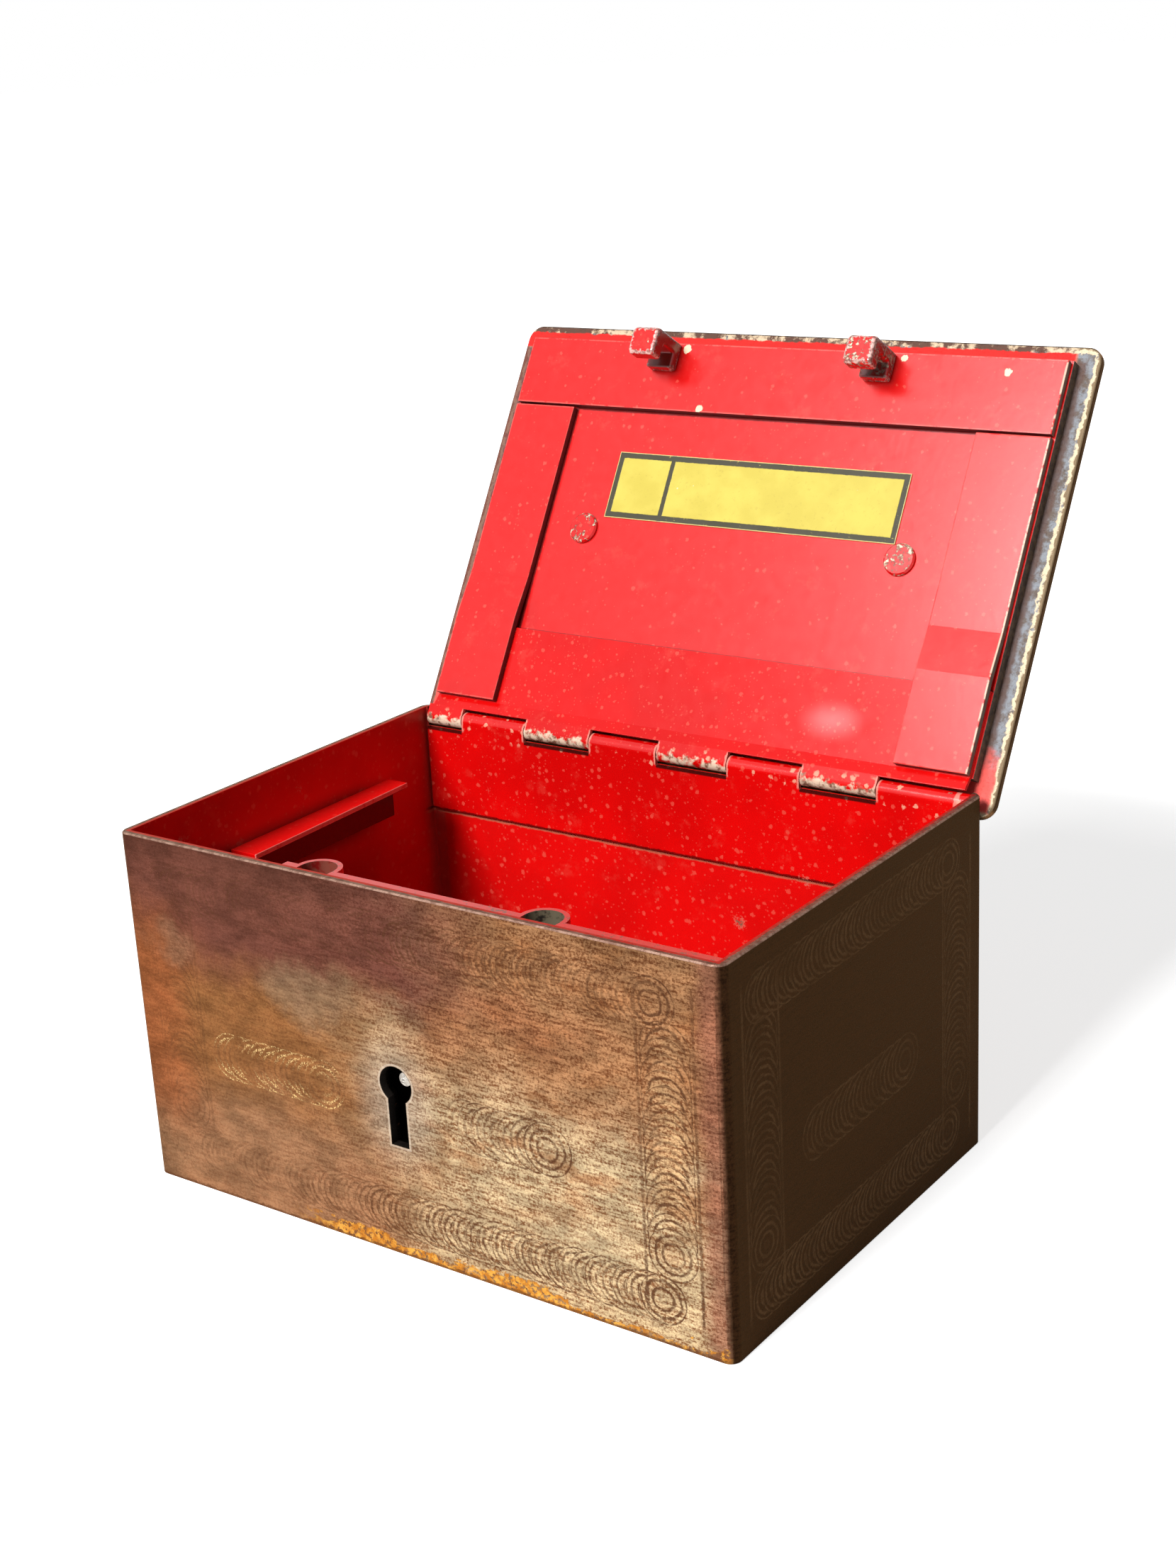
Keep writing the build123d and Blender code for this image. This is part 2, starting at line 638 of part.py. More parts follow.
def handle_rivets():
    y = HINGE_Y - HANDLE_PLACE
    low = HINGE_Z - PLATE_FACE
    high = HINGE_Z - COVER_FACE + RIVET_DEPTH_IN_BRACKET
    rivets = []
    for x in (-HANDLE_HALF_SPAN, HANDLE_HALF_SPAN):
        rivet = Pos(x, y, (low + high) / 2) * Cylinder(RIVET_RADIUS, high - low)
        head = Pos(x, y, low - RIVET_HEAD_HEIGHT / 2) * Cylinder(RIVET_HEAD_RADIUS, RIVET_HEAD_HEIGHT)
        edge = head.faces().sort_by(Axis.Z)[0].edges()
        rivets.append(rivet + chamfer(edge, RIVET_HEAD_CHAMFER))
    return Compound(children=rivets)


def handle_bail():
    open_turn = math.radians(OPEN_ANGLE)
    y = HINGE_Y - HANDLE_PLACE * math.cos(open_turn) - PIVOT_DEPTH * math.sin(open_turn)
    z = HINGE_Z + HANDLE_PLACE * math.sin(open_turn) - PIVOT_DEPTH * math.cos(open_turn)
    low = z - BAIL_LENGTH
    pin_end = HANDLE_HALF_SPAN - BRACKET_WIDTH / 2 + HANDLE_PIN_SETBACK
    inner = HANDLE_HALF_SPAN + BRACKET_WIDTH / 2 + BAIL_SIDE_GAP
    outer = inner + BAIL_THICKNESS
    middle = (inner + outer) / 2
    corners = [(-middle, y, z), (-middle, y, low), (middle, y, low), (middle, y, z)]
    path = FilletPolyline(*corners, radius=BAIL_BEND)
    bar = chamfer(Rectangle(BAIL_THICKNESS, BAIL_WIDTH).vertices(), BAIL_EDGE_CHAMFER)
    section = Plane(origin=(-middle, y, z), x_dir=(1, 0, 0), z_dir=(0, 0, -1)) * bar
    bail = sweep(section, path=path)
    for left, right in ((-outer, -inner), (inner, outer)):
        eye = bar_along_x(left, right, y, z, BAIL_WIDTH / 2)
        bail += chamfer(eye.edges().filter_by(GeomType.CIRCLE), BAIL_EDGE_CHAMFER)
    for left, right in ((-inner, -pin_end), (pin_end, inner)):
        bail += bar_along_x(left, right, y, z, HANDLE_PIN_RADIUS)
    return bail


save(body_shell(), "body_shell")
save(bottom_plate(), "bottom_plate")
save(box_leaf(), "box_leaf")
save(hinge_pin(), "hinge_pin")
save(tray_ledge(-1), "tray_ledge_left")
save(tray_ledge(1), "tray_ledge_right")
save(lock_base(), "lock_base")
save(lock_cover(), "lock_cover")
save(lock_posts(), "lock_posts")
save(cover_screws(), "cover_screws")
save(drill_pin(), "drill_pin")
save(guide_studs(), "guide_studs")
save(stud_clips(), "stud_clips")
save(bolt_bar(), "bolt_bar")
save(spring_post(), "spring_post")
save(bolt_spring(), "bolt_spring")
save(lid_open(lid_cover()), "lid_cover")
save(lid_open(lid_inner_plate()), "lid_inner_plate")
save(lid_open(front_strip()), "lid_front_strip")
save(lid_open(side_strip(-1)), "lid_left_strip")
save(lid_open(side_strip(1)), "lid_right_strip")
save(lid_open(lid_leaf()), "lid_leaf")
save(lid_open(hook(LEFT_HOOK)), "hook_left")
save(lid_open(hook(RIGHT_HOOK)), "hook_right")
save(lid_open(label_plate()), "label_plate")
save(lid_open(handle_bracket(-HANDLE_HALF_SPAN)), "handle_bracket_left")
save(lid_open(handle_bracket(HANDLE_HALF_SPAN)), "handle_bracket_right")
save(lid_open(handle_rivets()), "handle_rivets")
save(handle_bail(), "handle_bail")
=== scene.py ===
import math
import bpy
from mathutils import Matrix, Vector

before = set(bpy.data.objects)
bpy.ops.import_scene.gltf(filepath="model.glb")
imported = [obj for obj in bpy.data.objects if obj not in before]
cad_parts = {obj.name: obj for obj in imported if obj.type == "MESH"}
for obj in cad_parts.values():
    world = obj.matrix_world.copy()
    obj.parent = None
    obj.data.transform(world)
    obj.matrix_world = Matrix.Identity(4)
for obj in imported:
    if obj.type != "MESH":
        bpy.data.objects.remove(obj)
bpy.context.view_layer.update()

# Looks of a small steel strongbox: turned and stained steel outside, chipped red enamel inside.
# Lengths in the scene are metres; the patterns in the materials work in millimetres.

# Places on the box, in millimetres
HINGE_Y = 67.5
HINGE_Z = 103.7
OPEN_ANGLE = math.radians(121.0)
INSIDE_X = 97.5
INSIDE_Y = 66.0
KEYHOLE_X = -3.8
KEYHOLE_Z = 51.5
KEYHOLE_RADIUS = 5.4
KEY_SLOT_HALF_WIDTH = 3.0
KEY_SLOT_LOW = 33.4
LEAF_FOOT = 72.6
LOCK_FACE_Y = -51.2
LEFT_HOOK_X = -41.0
RIGHT_HOOK_X = 35.5

# The hinge's rolls: how long each is, where the first one ends, and where the lid's first one starts
KNUCKLE = 25.1
FIRST_ROLL_END = -82.5
FIRST_LID_ROLL = -57.4

# The tray ledge gets narrower by this share of its length, up to its rear end
LEDGE_TAPER = 0.0276
LEDGE_REAR = 44.5

# Places on the lid as if it were closed: across from the middle, and forward from the hinge
LID_HALF_WIDTH = 102.2
LID_FRONT = 137.4
LID_REAR = -3.2
PLATE_HALF_WIDTH = 95.6
PLATE_FRONT = 131.5
STRIP_HALF_WIDTH = 95.0
STRIP_INNER_EDGE = 71.6
STRIP_FRONT = 130.9
STRIP_REAR = 108.3
SIDE_STRIP_REAR = 7.4
SIDE_STRIP_FRONT = 107.7
LID_LEAF_REACH = 32.4
HOLLOW_X = 47.0
HOLLOW_REACH = 17.0
LABEL_LEFT = -50.0
LABEL_RIGHT = 53.8
LABEL_REAR = 72.25
LABEL_FRONT = 94.15
DIVIDER_FROM_LEFT = 20.6

# A hook: its half width, its two faces forward from the hinge, and its ends inwards from the hinge
HOOK_HALF_WIDTH = 4.75
HOOK_FRONT = 130.2
HOOK_REAR = 121.2
HOOK_FOOT = 2.4
HOOK_END = 17.4

# How far paint, wear and brushing stand off the surface, in metres
RELIEF = 0.00012


# Node helpers

class Graph:
    """Adds nodes to one material or group, left to right."""

    def __init__(self, tree):
        self.tree = tree
        self.column = 0

    def node(self, kind, inputs=None, **settings):
        made = self.tree.nodes.new(kind)
        made.location = (self.column * 40.0, -(self.column % 5) * 160.0)
        self.column += 1
        for name, value in settings.items():
            setattr(made, name, value)
        for name, value in (inputs or {}).items():
            self.feed(made.inputs[name], value)
        return made

    def feed(self, socket, value):
        if isinstance(value, bpy.types.NodeSocket):
            self.tree.links.new(value, socket)
        else:
            socket.default_value = value

    def math(self, operation, a, b=0.0, c=0.0, clamp=False):
        made = self.node("ShaderNodeMath", {0: a, 1: b, 2: c}, operation=operation, use_clamp=clamp)
        return made.outputs[0]

    def vectors(self, operation, a, b):
        return self.node("ShaderNodeVectorMath", {0: a, 1: b}, operation=operation).outputs[0]

    def add(self, a, b):
        return self.math("ADD", a, b)

    def less(self, a, b):
        return self.math("SUBTRACT", a, b)

    def times(self, a, b, *more):
        product = self.math("MULTIPLY", a, b)
        for factor in more:
            product = self.math("MULTIPLY", product, factor)
        return product

    def either(self, a, b):
        return self.math("MAXIMUM", a, b)

    def smaller(self, a, b):
        return self.math("MINIMUM", a, b)

    def length(self, a, b):
        return self.math("SQRT", self.add(self.times(a, a), self.times(b, b)))

    def wobble(self, place, scale, reach):
        """Noise about zero, reaching about that far each way."""
        return self.times(self.less(self.noise(place, scale, 4.0, 0.65), 0.5), reach * 4.0)

    def inverse(self, a):
        return self.math("SUBTRACT", 1.0, a)

    def size(self, a):
        return self.math("ABSOLUTE", a)

    def rise(self, value, low, high):
        """0 below low, 1 above high, smooth between."""
        made = self.node("ShaderNodeMapRange", {"Value": value, "From Min": low, "From Max": high},
                         interpolation_type="SMOOTHSTEP")
        return made.outputs["Result"]

    def fall(self, value, low, high):
        return self.inverse(self.rise(value, low, high))

    def between(self, value, low, high, soft):
        up = self.rise(value, low - soft, low + soft)
        down = self.fall(value, high - soft, high + soft)
        return self.times(up, down)

    def noise(self, place, scale, detail=3.0, roughness=0.6, distortion=0.0):
        made = self.node("ShaderNodeTexNoise",
                         {"Vector": place, "Scale": scale, "Detail": detail,
                          "Roughness": roughness, "Distortion": distortion})
        return made.outputs["Fac"]

    def patchy(self, place, scale, low, high):
        """Ragged patches: 0 where the noise is below low, 1 where it is above high."""
        return self.rise(self.noise(place, scale, 4.0, 0.7), low, high)

    def cells(self, place, scale, randomness=1.0):
        made = self.node("ShaderNodeTexVoronoi",
                         {"Vector": place, "Scale": scale, "Randomness": randomness})
        return made.outputs["Distance"], made.outputs["Color"]

    def stretched(self, place, factors):
        made = self.node("ShaderNodeMapping", {"Vector": place, "Scale": factors})
        return made.outputs["Vector"]

    def split(self, place):
        made = self.node("ShaderNodeSeparateXYZ", {0: place})
        return made.outputs[0], made.outputs[1], made.outputs[2]

    def mixed(self, mask, a, b):
        made = self.node("ShaderNodeMix", {0: mask, 2: a, 3: b}, data_type="FLOAT")
        return made.outputs[0]

    def paint(self, mask, under, over, blend="MIX"):
        made = self.node("ShaderNodeMix", {0: mask, 6: under, 7: over},
                         data_type="RGBA", blend_type=blend)
        return made.outputs[2]

    def millimetres(self):
        coords = self.node("ShaderNodeTexCoord")
        return self.stretched(coords.outputs["Object"], (1000.0, 1000.0, 1000.0))

    def lid_millimetres(self):
        """As if the lid were closed: x across, -y from the hinge to the free edge, -z inwards."""
        turn = Matrix.Rotation(OPEN_ANGLE, 3, "X")
        shift = turn @ Vector((0.0, HINGE_Y, HINGE_Z))
        coords = self.node("ShaderNodeTexCoord")
        made = self.node("ShaderNodeMapping",
                         {"Vector": coords.outputs["Object"], "Location": -shift,
                          "Rotation": (OPEN_ANGLE, 0.0, 0.0), "Scale": (1000.0, 1000.0, 1000.0)})
        return made.outputs["Vector"]


def colour(red, green, blue):
    """A colour as it looks on a screen, 0 to 255, turned linear for a shader."""
    linear = []
    for part in (red, green, blue):
        part = part / 255.0
        linear.append(part / 12.92 if part <= 0.04045 else ((part + 0.055) / 1.055) ** 2.4)
    return (*linear, 1.0)


def new_group(name, inputs, outputs):
    """inputs and outputs are lists of (name, kind, default)."""
    tree = bpy.data.node_groups.new(name, "ShaderNodeTree")
    kinds = {"value": "NodeSocketFloat", "vector": "NodeSocketVector", "colour": "NodeSocketColor"}
    for label, kind, default in inputs:
        socket = tree.interface.new_socket(name=label, in_out="INPUT", socket_type=kinds[kind])
        if default is not None:
            socket.default_value = default
    for label, kind in outputs:
        tree.interface.new_socket(name=label, in_out="OUTPUT", socket_type=kinds[kind])
    graph = Graph(tree)
    into = graph.node("NodeGroupInput").outputs
    out = graph.node("NodeGroupOutput").inputs
    return tree, graph, into, out


def use_group(graph, group, inputs):
    made = graph.node("ShaderNodeGroup", node_tree=group)
    for name, value in inputs.items():
        graph.feed(made.inputs[name], value)
    return made.outputs


# Effects shared by the materials

def turned_row_group():
    """A row of overlapping turned circles, each over the one before it."""
    tree, g, into, out = new_group(
        "turned_row",
        [("Along", "value", 0.0), ("Across", "value", 0.0), ("First", "value", 0.0),
         ("Last", "value", 50.0), ("Radius", "value", 7.2), ("Step", "value", 4.3),
         ("Ring Gap", "value", 2.15), ("Jitter", "value", 0.0)],
        [("Lines", "value"), ("Area", "value")])
    across_squared = g.times(into["Across"], into["Across"])
    radius_squared = g.times(into["Radius"], into["Radius"])
    half_chord = g.math("SQRT", g.either(g.less(radius_squared, across_squared), 0.0))
    reach = g.add(g.less(into["Along"], into["First"]), half_chord)
    count = g.math("FLOOR", g.math("DIVIDE", reach, into["Step"]))
    most = g.math("FLOOR", g.math("DIVIDE", g.less(into["Last"], into["First"]), into["Step"]))
    count = g.smaller(g.either(count, 0.0), most)
    centre = g.add(into["First"], g.times(count, into["Step"]))
    off = g.less(into["Along"], centre)
    distance = g.math("SQRT", g.add(g.times(off, off), across_squared))
    area = g.fall(distance, g.less(into["Radius"], 0.25), into["Radius"])
    distance = g.add(distance, into["Jitter"])
    phase = g.math("FRACT", g.math("DIVIDE", distance, into["Ring Gap"]))
    ring = g.fall(g.size(g.less(phase, 0.5)), 0.06, 0.30)
    edge = g.rise(distance, g.less(into["Radius"], 0.8), g.less(into["Radius"], 0.3))
    shown = g.mixed(g.rise(distance, 1.2, 3.6), 0.25, 1.0)
    g.feed(out["Lines"], g.times(g.either(ring, edge), area, shown))
    g.feed(out["Area"], area)
    return tree


def chip_group():
    """Ragged chips in paint, more of them where Wear is higher, with a rusty outline."""
    tree, g, into, out = new_group(
        "paint_chips", [("Place", "vector", None), ("Wear", "value", 0.0)],
        [("Chips", "value"), ("Outline", "value")])
    ragged = g.noise(into["Place"], 0.62, 5.0, 0.65)
    coarse = g.noise(into["Place"], 0.17, 3.0, 0.6)
    level = g.add(g.times(ragged, 0.65), g.times(coarse, 0.35))
    limit = g.less(0.78, g.times(into["Wear"], 0.42))
    chips = g.rise(level, limit, g.add(limit, 0.018))
    outline = g.rise(level, g.less(limit, 0.022), limit)
    g.feed(out["Chips"], chips)
    g.feed(out["Outline"], g.times(outline, g.inverse(chips)))
    return tree


def speck_group():
    """Small round spots scattered one to a cell, with uneven edges."""
    tree, g, into, out = new_group(
        "specks",
        [("Place", "vector", None), ("Scale", "value", 0.5), ("Share", "value", 0.3),
         ("Size", "value", 0.3)],
        [("Spots", "value")])
    distance, tint = g.cells(into["Place"], into["Scale"])
    pick, how_big, _ = g.split(tint)
    chosen = g.math("LESS_THAN", pick, into["Share"])
    reach = g.times(into["Size"], g.add(0.45, g.times(how_big, 0.55)))
    uneven = g.times(g.less(g.noise(into["Place"], 1.1, 3.0, 0.7), 0.5), 1.6)
    uneven = g.times(uneven, into["Size"])
    dots = g.fall(g.add(distance, uneven), g.times(reach, 0.6), reach)
    g.feed(out["Spots"], g.times(dots, chosen))
    return tree


def patina_group():
    """Brushed steel with a fine brown speckle between two tones."""
    tree, g, into, out = new_group(
        "steel_patina",
        [("Place", "vector", None), ("Pale", "colour", (0.6, 0.5, 0.3, 1.0)),
         ("Brown", "colour", (0.2, 0.1, 0.05, 1.0)), ("Speckle", "value", 1.0)],
        [("Colour", "colour"), ("Roughness", "value"), ("Height", "value")])
    fine = g.noise(into["Place"], 1.3, 4.0, 0.7)
    lines = g.noise(g.stretched(into["Place"], (0.13, 0.13, 1.0)), 1.5, 3.0, 0.65)
    both = g.add(g.times(fine, 0.58), g.times(lines, 0.42))
    pale = g.mixed(into["Speckle"], 0.5, g.rise(both, 0.40, 0.58))
    tone = g.paint(pale, into["Brown"], into["Pale"])
    flecks = g.rise(g.noise(into["Place"], 2.1, 3.0, 0.7), 0.59, 0.68)
    tone = g.paint(g.times(flecks, into["Speckle"], 0.55), tone, colour(58, 36, 24))
    squashed = g.stretched(into["Place"], (1.0, 1.0, 1.7))
    glints = g.rise(g.noise(squashed, 1.7, 2.0, 0.6), 0.60, 0.70)
    tone = g.paint(g.times(glints, into["Speckle"], 0.45), tone, into["Pale"], "SCREEN")
    g.feed(out["Colour"], tone)
    g.feed(out["Roughness"], g.add(0.40, g.times(pale, 0.16)))
    brushed = g.add(g.times(lines, 0.6), g.times(fine, 0.3))
    g.feed(out["Height"], g.less(brushed, g.times(flecks, 0.3)))
    return tree


def edge_group():
    """1 near the edges of a block, from its two far corners, with a ragged border."""
    tree, g, into, out = new_group(
        "block_edges",
        [("Place", "vector", None), ("Low", "vector", None), ("High", "vector", None),
         ("Width", "value", 0.6)],
        [("Edges", "value")])
    from_low = g.vectors("SUBTRACT", into["Place"], into["Low"])
    from_high = g.vectors("SUBTRACT", into["High"], into["Place"])
    near = g.vectors("MINIMUM", from_low, from_high)
    a, b, c = g.split(near)
    second = g.either(g.smaller(a, b), g.smaller(g.either(a, b), c))
    ragged = g.times(g.less(g.noise(into["Place"], 0.9, 4.0, 0.65), 0.5), into["Width"])
    second = g.add(second, g.times(ragged, 4.0))
    g.feed(out["Edges"], g.fall(second, g.times(into["Width"], 0.75), into["Width"]))
    return tree


TURNED_ROW = turned_row_group()
PAINT_CHIPS = chip_group()
SPECKS = speck_group()
STEEL_PATINA = patina_group()
BLOCK_EDGES = edge_group()

WHITE = (1.0, 1.0, 1.0, 1.0)
PALE_STEEL = colour(214, 196, 170)
RUST = colour(104, 62, 38)
DARK_RUST = colour(52, 30, 20)
ENAMEL = colour(206, 6, 6)
ENAMEL_DEEP = colour(190, 5, 5)
ENAMEL_PALE = colour(208, 78, 64)
# Dark red for painted shade in creases, on sides and under edges, and for grime
CREVICE_SHADE_AND_GRIME = colour(54, 7, 6)
STEEL_SHEEN = (0.72, 0.62, 0.54, 1.0)


def new_material(name):
    material = bpy.data.materials.new(name)
    material.use_nodes = True
    tree = material.node_tree
    tree.nodes.clear()
    g = Graph(tree)
    shader = g.node("ShaderNodeBsdfPrincipled")
    output = g.node("ShaderNodeOutputMaterial", {"Surface": shader.outputs[0]})
    output.location = (1200.0, 0.0)
    shader.location = (900.0, 0.0)
    return material, g, shader


def bump(g, shader, height, distance):
    made = g.node("ShaderNodeBump", {"Height": height, "Distance": distance})
    g.feed(shader.inputs["Normal"], made.outputs[0])


def spots(g, place, scale, share, size):
    """A mask of small round spots."""
    return use_group(g, SPECKS, {"Place": place, "Scale": scale, "Share": share, "Size": size})["Spots"]


def dress(g, shader, tone, rough, metal, height, relief=RELIEF):
    g.feed(shader.inputs["Base Color"], tone)
    g.feed(shader.inputs["Roughness"], rough)
    g.feed(shader.inputs["Metallic"], metal)
    bump(g, shader, height, relief)


# Enamel

def enamel(g, place, wear, specks, coarseness=1.0):
    """Red enamel over steel. Returns tone, roughness, metal and height."""
    marks = use_group(g, PAINT_CHIPS, {"Place": place, "Wear": wear})
    cloud = g.rise(g.noise(place, 0.035, 2.0, 0.5), 0.35, 0.65)
    tone = g.paint(cloud, ENAMEL_DEEP, ENAMEL)
    smudges = g.patchy(place, 0.11, 0.56, 0.72)
    tone = g.paint(g.times(smudges, 0.20), tone, ENAMEL_PALE)
    coarse = spots(g, place, 0.40 / coarseness, specks, 0.34)
    fine = spots(g, place, 0.85 / coarseness, specks, 0.32)
    tone = g.paint(g.either(g.times(coarse, 0.62), g.times(fine, 0.42)), tone, ENAMEL_PALE)
    bare = g.paint(g.patchy(place, 1.1, 0.38, 0.60), RUST, PALE_STEEL)
    tone = g.paint(g.times(marks["Outline"], 0.75), tone, DARK_RUST)
    tone = g.paint(marks["Chips"], tone, bare)
    peel = g.noise(place, 0.55, 2.0, 0.5)
    rough = g.add(0.16, g.times(g.noise(place, 0.3, 3.0, 0.6), 0.12))
    rough = g.mixed(marks["Chips"], rough, 0.55)
    height = g.less(g.times(peel, 0.14), g.times(marks["Chips"], 0.6))
    return tone, rough, g.times(marks["Chips"], 0.3), height


def rust_spots(g, place, tone):
    """A few rusty blisters, grey in the middle with a pinkish ring."""
    ring = spots(g, place, 0.050, 0.42, 0.20)
    ragged = g.patchy(place, 0.6, 0.38, 0.56)
    tone = g.paint(g.times(ring, ragged, 0.75), tone, colour(196, 96, 82))
    core = spots(g, place, 0.050, 0.42, 0.11)
    return g.paint(g.times(core, ragged, 0.9), tone, colour(92, 78, 60))


def red_enamel(name, wear, specks):
    material, g, shader = new_material(name)
    place = g.millimetres()
    tone, rough, metal, height = enamel(g, place, wear, specks)
    dress(g, shader, tone, rough, metal, height)
    return material


def box_inside_enamel(g, place):
    """Enamel of the box's inside, with marks in the corners, painted shade on the left wall and under the
    tray ledge, and at the hinge leaf's foot a painted shadow line with grime and a painted highlight below
    it.
    """
    x, y, z = g.split(place)
    tone, rough, metal, height = enamel(g, place, 0.14, 0.72, 1.35)
    tone = rust_spots(g, place, tone)
    at_back = g.rise(y, 60.0, 65.0)
    at_left = g.times(g.fall(x, -96.8, -95.6), g.fall(y, 20.0, 66.0))
    # Painted shade on the left wall, deeper lower down and fading towards the back
    tone = g.paint(g.times(at_left, g.fall(z, 60.0, 92.0), 0.55), tone, CREVICE_SHADE_AND_GRIME)
    # Painted shadow under the tray ledge, near black
    ledge_shadow = g.times(at_left, g.between(z, 74.0, 89.5, 4.0), g.fall(y, 26.0, 46.0))
    tone = g.paint(g.times(ledge_shadow, 0.85), tone, colour(16, 4, 4))
    corner = g.fall(g.less(INSIDE_X, g.size(x)), 3.6, 5.4)
    tone = g.paint(g.times(corner, at_back, 0.45), tone, colour(150, 76, 66))
    # A pale tan line just below the hinge leaf's foot, a painted highlight
    below_leaf = g.add(g.less(LEAF_FOOT, z), g.wobble(place, 0.3, 0.35))
    lip = g.times(g.between(below_leaf, 0.5, 1.5, 0.25), at_back, 0.7)
    tone = g.paint(lip, tone, colour(170, 104, 80))
    # A dark line at the leaf's foot: painted shadow under its edge, with grime
    seam = g.times(g.between(below_leaf, -0.4, 0.45, 0.15), at_back, 0.8)
    tone = g.paint(seam, tone, CREVICE_SHADE_AND_GRIME)
    return tone, g.add(rough, 0.12), metal, height


def inside_finish():
    material, g, shader = new_material("box_inside_enamel")
    tone, rough, metal, height = box_inside_enamel(g, g.millimetres())
    dress(g, shader, tone, rough, metal, height)
    return material


def ledge_finish():
    """Tray ledge: enamel, its top painted brighter as painted light, with a pale worn line along its free
    edge and painted black shade below.
    """
    material, g, shader = new_material("tray_ledge_enamel")
    place = g.millimetres()
    x, y, z = g.split(place)
    tone, rough, metal, height = enamel(g, place, 0.16, 0.4)
    from_wall = g.less(INSIDE_X, g.size(x))
    # The top face painted a brighter red, as painted light
    tone = g.paint(g.times(g.rise(z, 88.3, 88.45), 0.6), tone, colour(244, 24, 22))
    tapered = g.add(from_wall, g.times(g.less(y, LEDGE_REAR), LEDGE_TAPER))
    free_edge = g.rise(tapered, 7.55, 7.8)
    worn = g.patchy(place, 0.25, 0.34, 0.48)
    tone = g.paint(g.times(free_edge, g.mixed(worn, 0.45, 0.9)), tone, colour(226, 128, 118))
    # Painted black shade under the ledge
    tone = g.paint(g.times(g.fall(z, 87.0, 87.2), 0.95), tone, colour(12, 3, 3))
    dress(g, shader, tone, rough, metal, height)
    return material


def hinge_finish(name, bare_rolls):
    """Enamel worn off the hinge's rolls: round cream spots, bare metal where they rub, pale ends."""
    material, g, shader = new_material(name)
    place = g.millimetres()
    x, y, z = g.split(place)
    off_y = g.less(y, HINGE_Y)
    off_z = g.less(z, HINGE_Z)
    from_pin = g.length(off_y, off_z)
    roll = g.fall(from_pin, 3.0, 4.2)
    tone, rough, metal, height = enamel(g, place, g.add(0.12, g.times(roll, 0.18)), 0.6)
    cream = spots(g, place, 0.30, 0.75, 0.36)
    spotted = roll if bare_rolls else g.fall(from_pin, 4.4, 6.2)
    tone = g.paint(g.times(cream, spotted, 0.9), tone, colour(214, 150, 124))

    # The ends of each roll show a pale line
    along = g.math("PINGPONG", g.less(x, FIRST_ROLL_END), KNUCKLE / 2.0)
    ends = g.fall(g.add(along, g.wobble(place, 0.8, 0.3)), 0.55, 0.85)
    tone = g.paint(g.times(ends, g.fall(from_pin, 3.6, 4.4), 0.75), tone, colour(214, 140, 124))

    if bare_rolls:
        under = g.times(g.fall(g.add(off_z, g.wobble(place, 0.28, 2.2)), 0.1, 1.3), roll)
        worn_here = g.rise(g.noise(place, 0.16, 3.0, 0.6), 0.34, 0.44)
        bright = g.rise(g.noise(place, 0.34, 4.0, 0.65), 0.38, 0.54)
        rubbed = g.paint(bright, colour(120, 84, 66), colour(212, 190, 166))
        tone = g.paint(g.times(under, worn_here), tone, rubbed)

        # The flat of the leaf is a little hollow near its right end and catches the light
        lid_place = g.lid_millimetres()
        lid_x, lid_y, _ = g.split(lid_place)
        from_hollow = g.length(g.times(g.less(lid_x, HOLLOW_X), 0.6), g.add(lid_y, HOLLOW_REACH))
        hollow = g.fall(from_hollow, 0.0, 7.5)
        height = g.add(height, g.times(hollow, 1.5))
        g.feed(shader.inputs["Coat Weight"], g.times(hollow, 0.85))
        shader.inputs["Coat Roughness"].default_value = 0.32
        shader.inputs["Coat IOR"].default_value = 1.6
        shader.inputs["Specular IOR Level"].default_value = 0.3
    else:
        past_roll = g.math("FLOORED_MODULO", g.less(x, FIRST_LID_ROLL), 2.0 * KNUCKLE)
        lid_roll = g.times(g.math("LESS_THAN", past_roll, KNUCKLE), g.fall(x, 84.0, 85.0))
        # Painted shade in the gap under each of the lid's rolls, with a pale lip below it
        slot = g.times(g.between(z, 99.3, 101.0, 0.1), lid_roll, g.fall(from_pin, 4.6, 5.0))
        tone = g.paint(g.times(slot, 0.92), tone, colour(26, 10, 8))
        lip = g.times(g.between(z, 98.6, 99.25, 0.1), lid_roll, g.fall(from_pin, 4.6, 5.0), 0.6)
        tone = g.paint(lip, tone, colour(206, 116, 98))
        foot = g.fall(g.add(g.less(z, LEAF_FOOT), g.wobble(place, 0.4, 0.3)), 0.35, 0.75)
        tone = g.paint(g.times(foot, 0.8), tone, CREVICE_SHADE_AND_GRIME)
        tone = rust_spots(g, place, tone)
    dress(g, shader, tone, rough, metal, height)
    return material


def sheet_edges(g, x, y, half_width, rear, front):
    """How far a place on a lid plate is from the plate's nearest side."""
    reach = g.times(y, -1.0)
    across = g.less(half_width, g.size(x))
    return g.smaller(across, g.smaller(g.less(reach, rear), g.less(front, reach)))


def mark(g, place, x, reach, radius):
    """One ragged chip at a place on the lid."""
    here_x, here_y, _ = g.split(place)
    off = g.length(g.less(here_x, x), g.add(here_y, reach))
    return g.fall(g.add(off, g.wobble(place, 0.7, radius * 0.35)), radius * 0.8, radius)


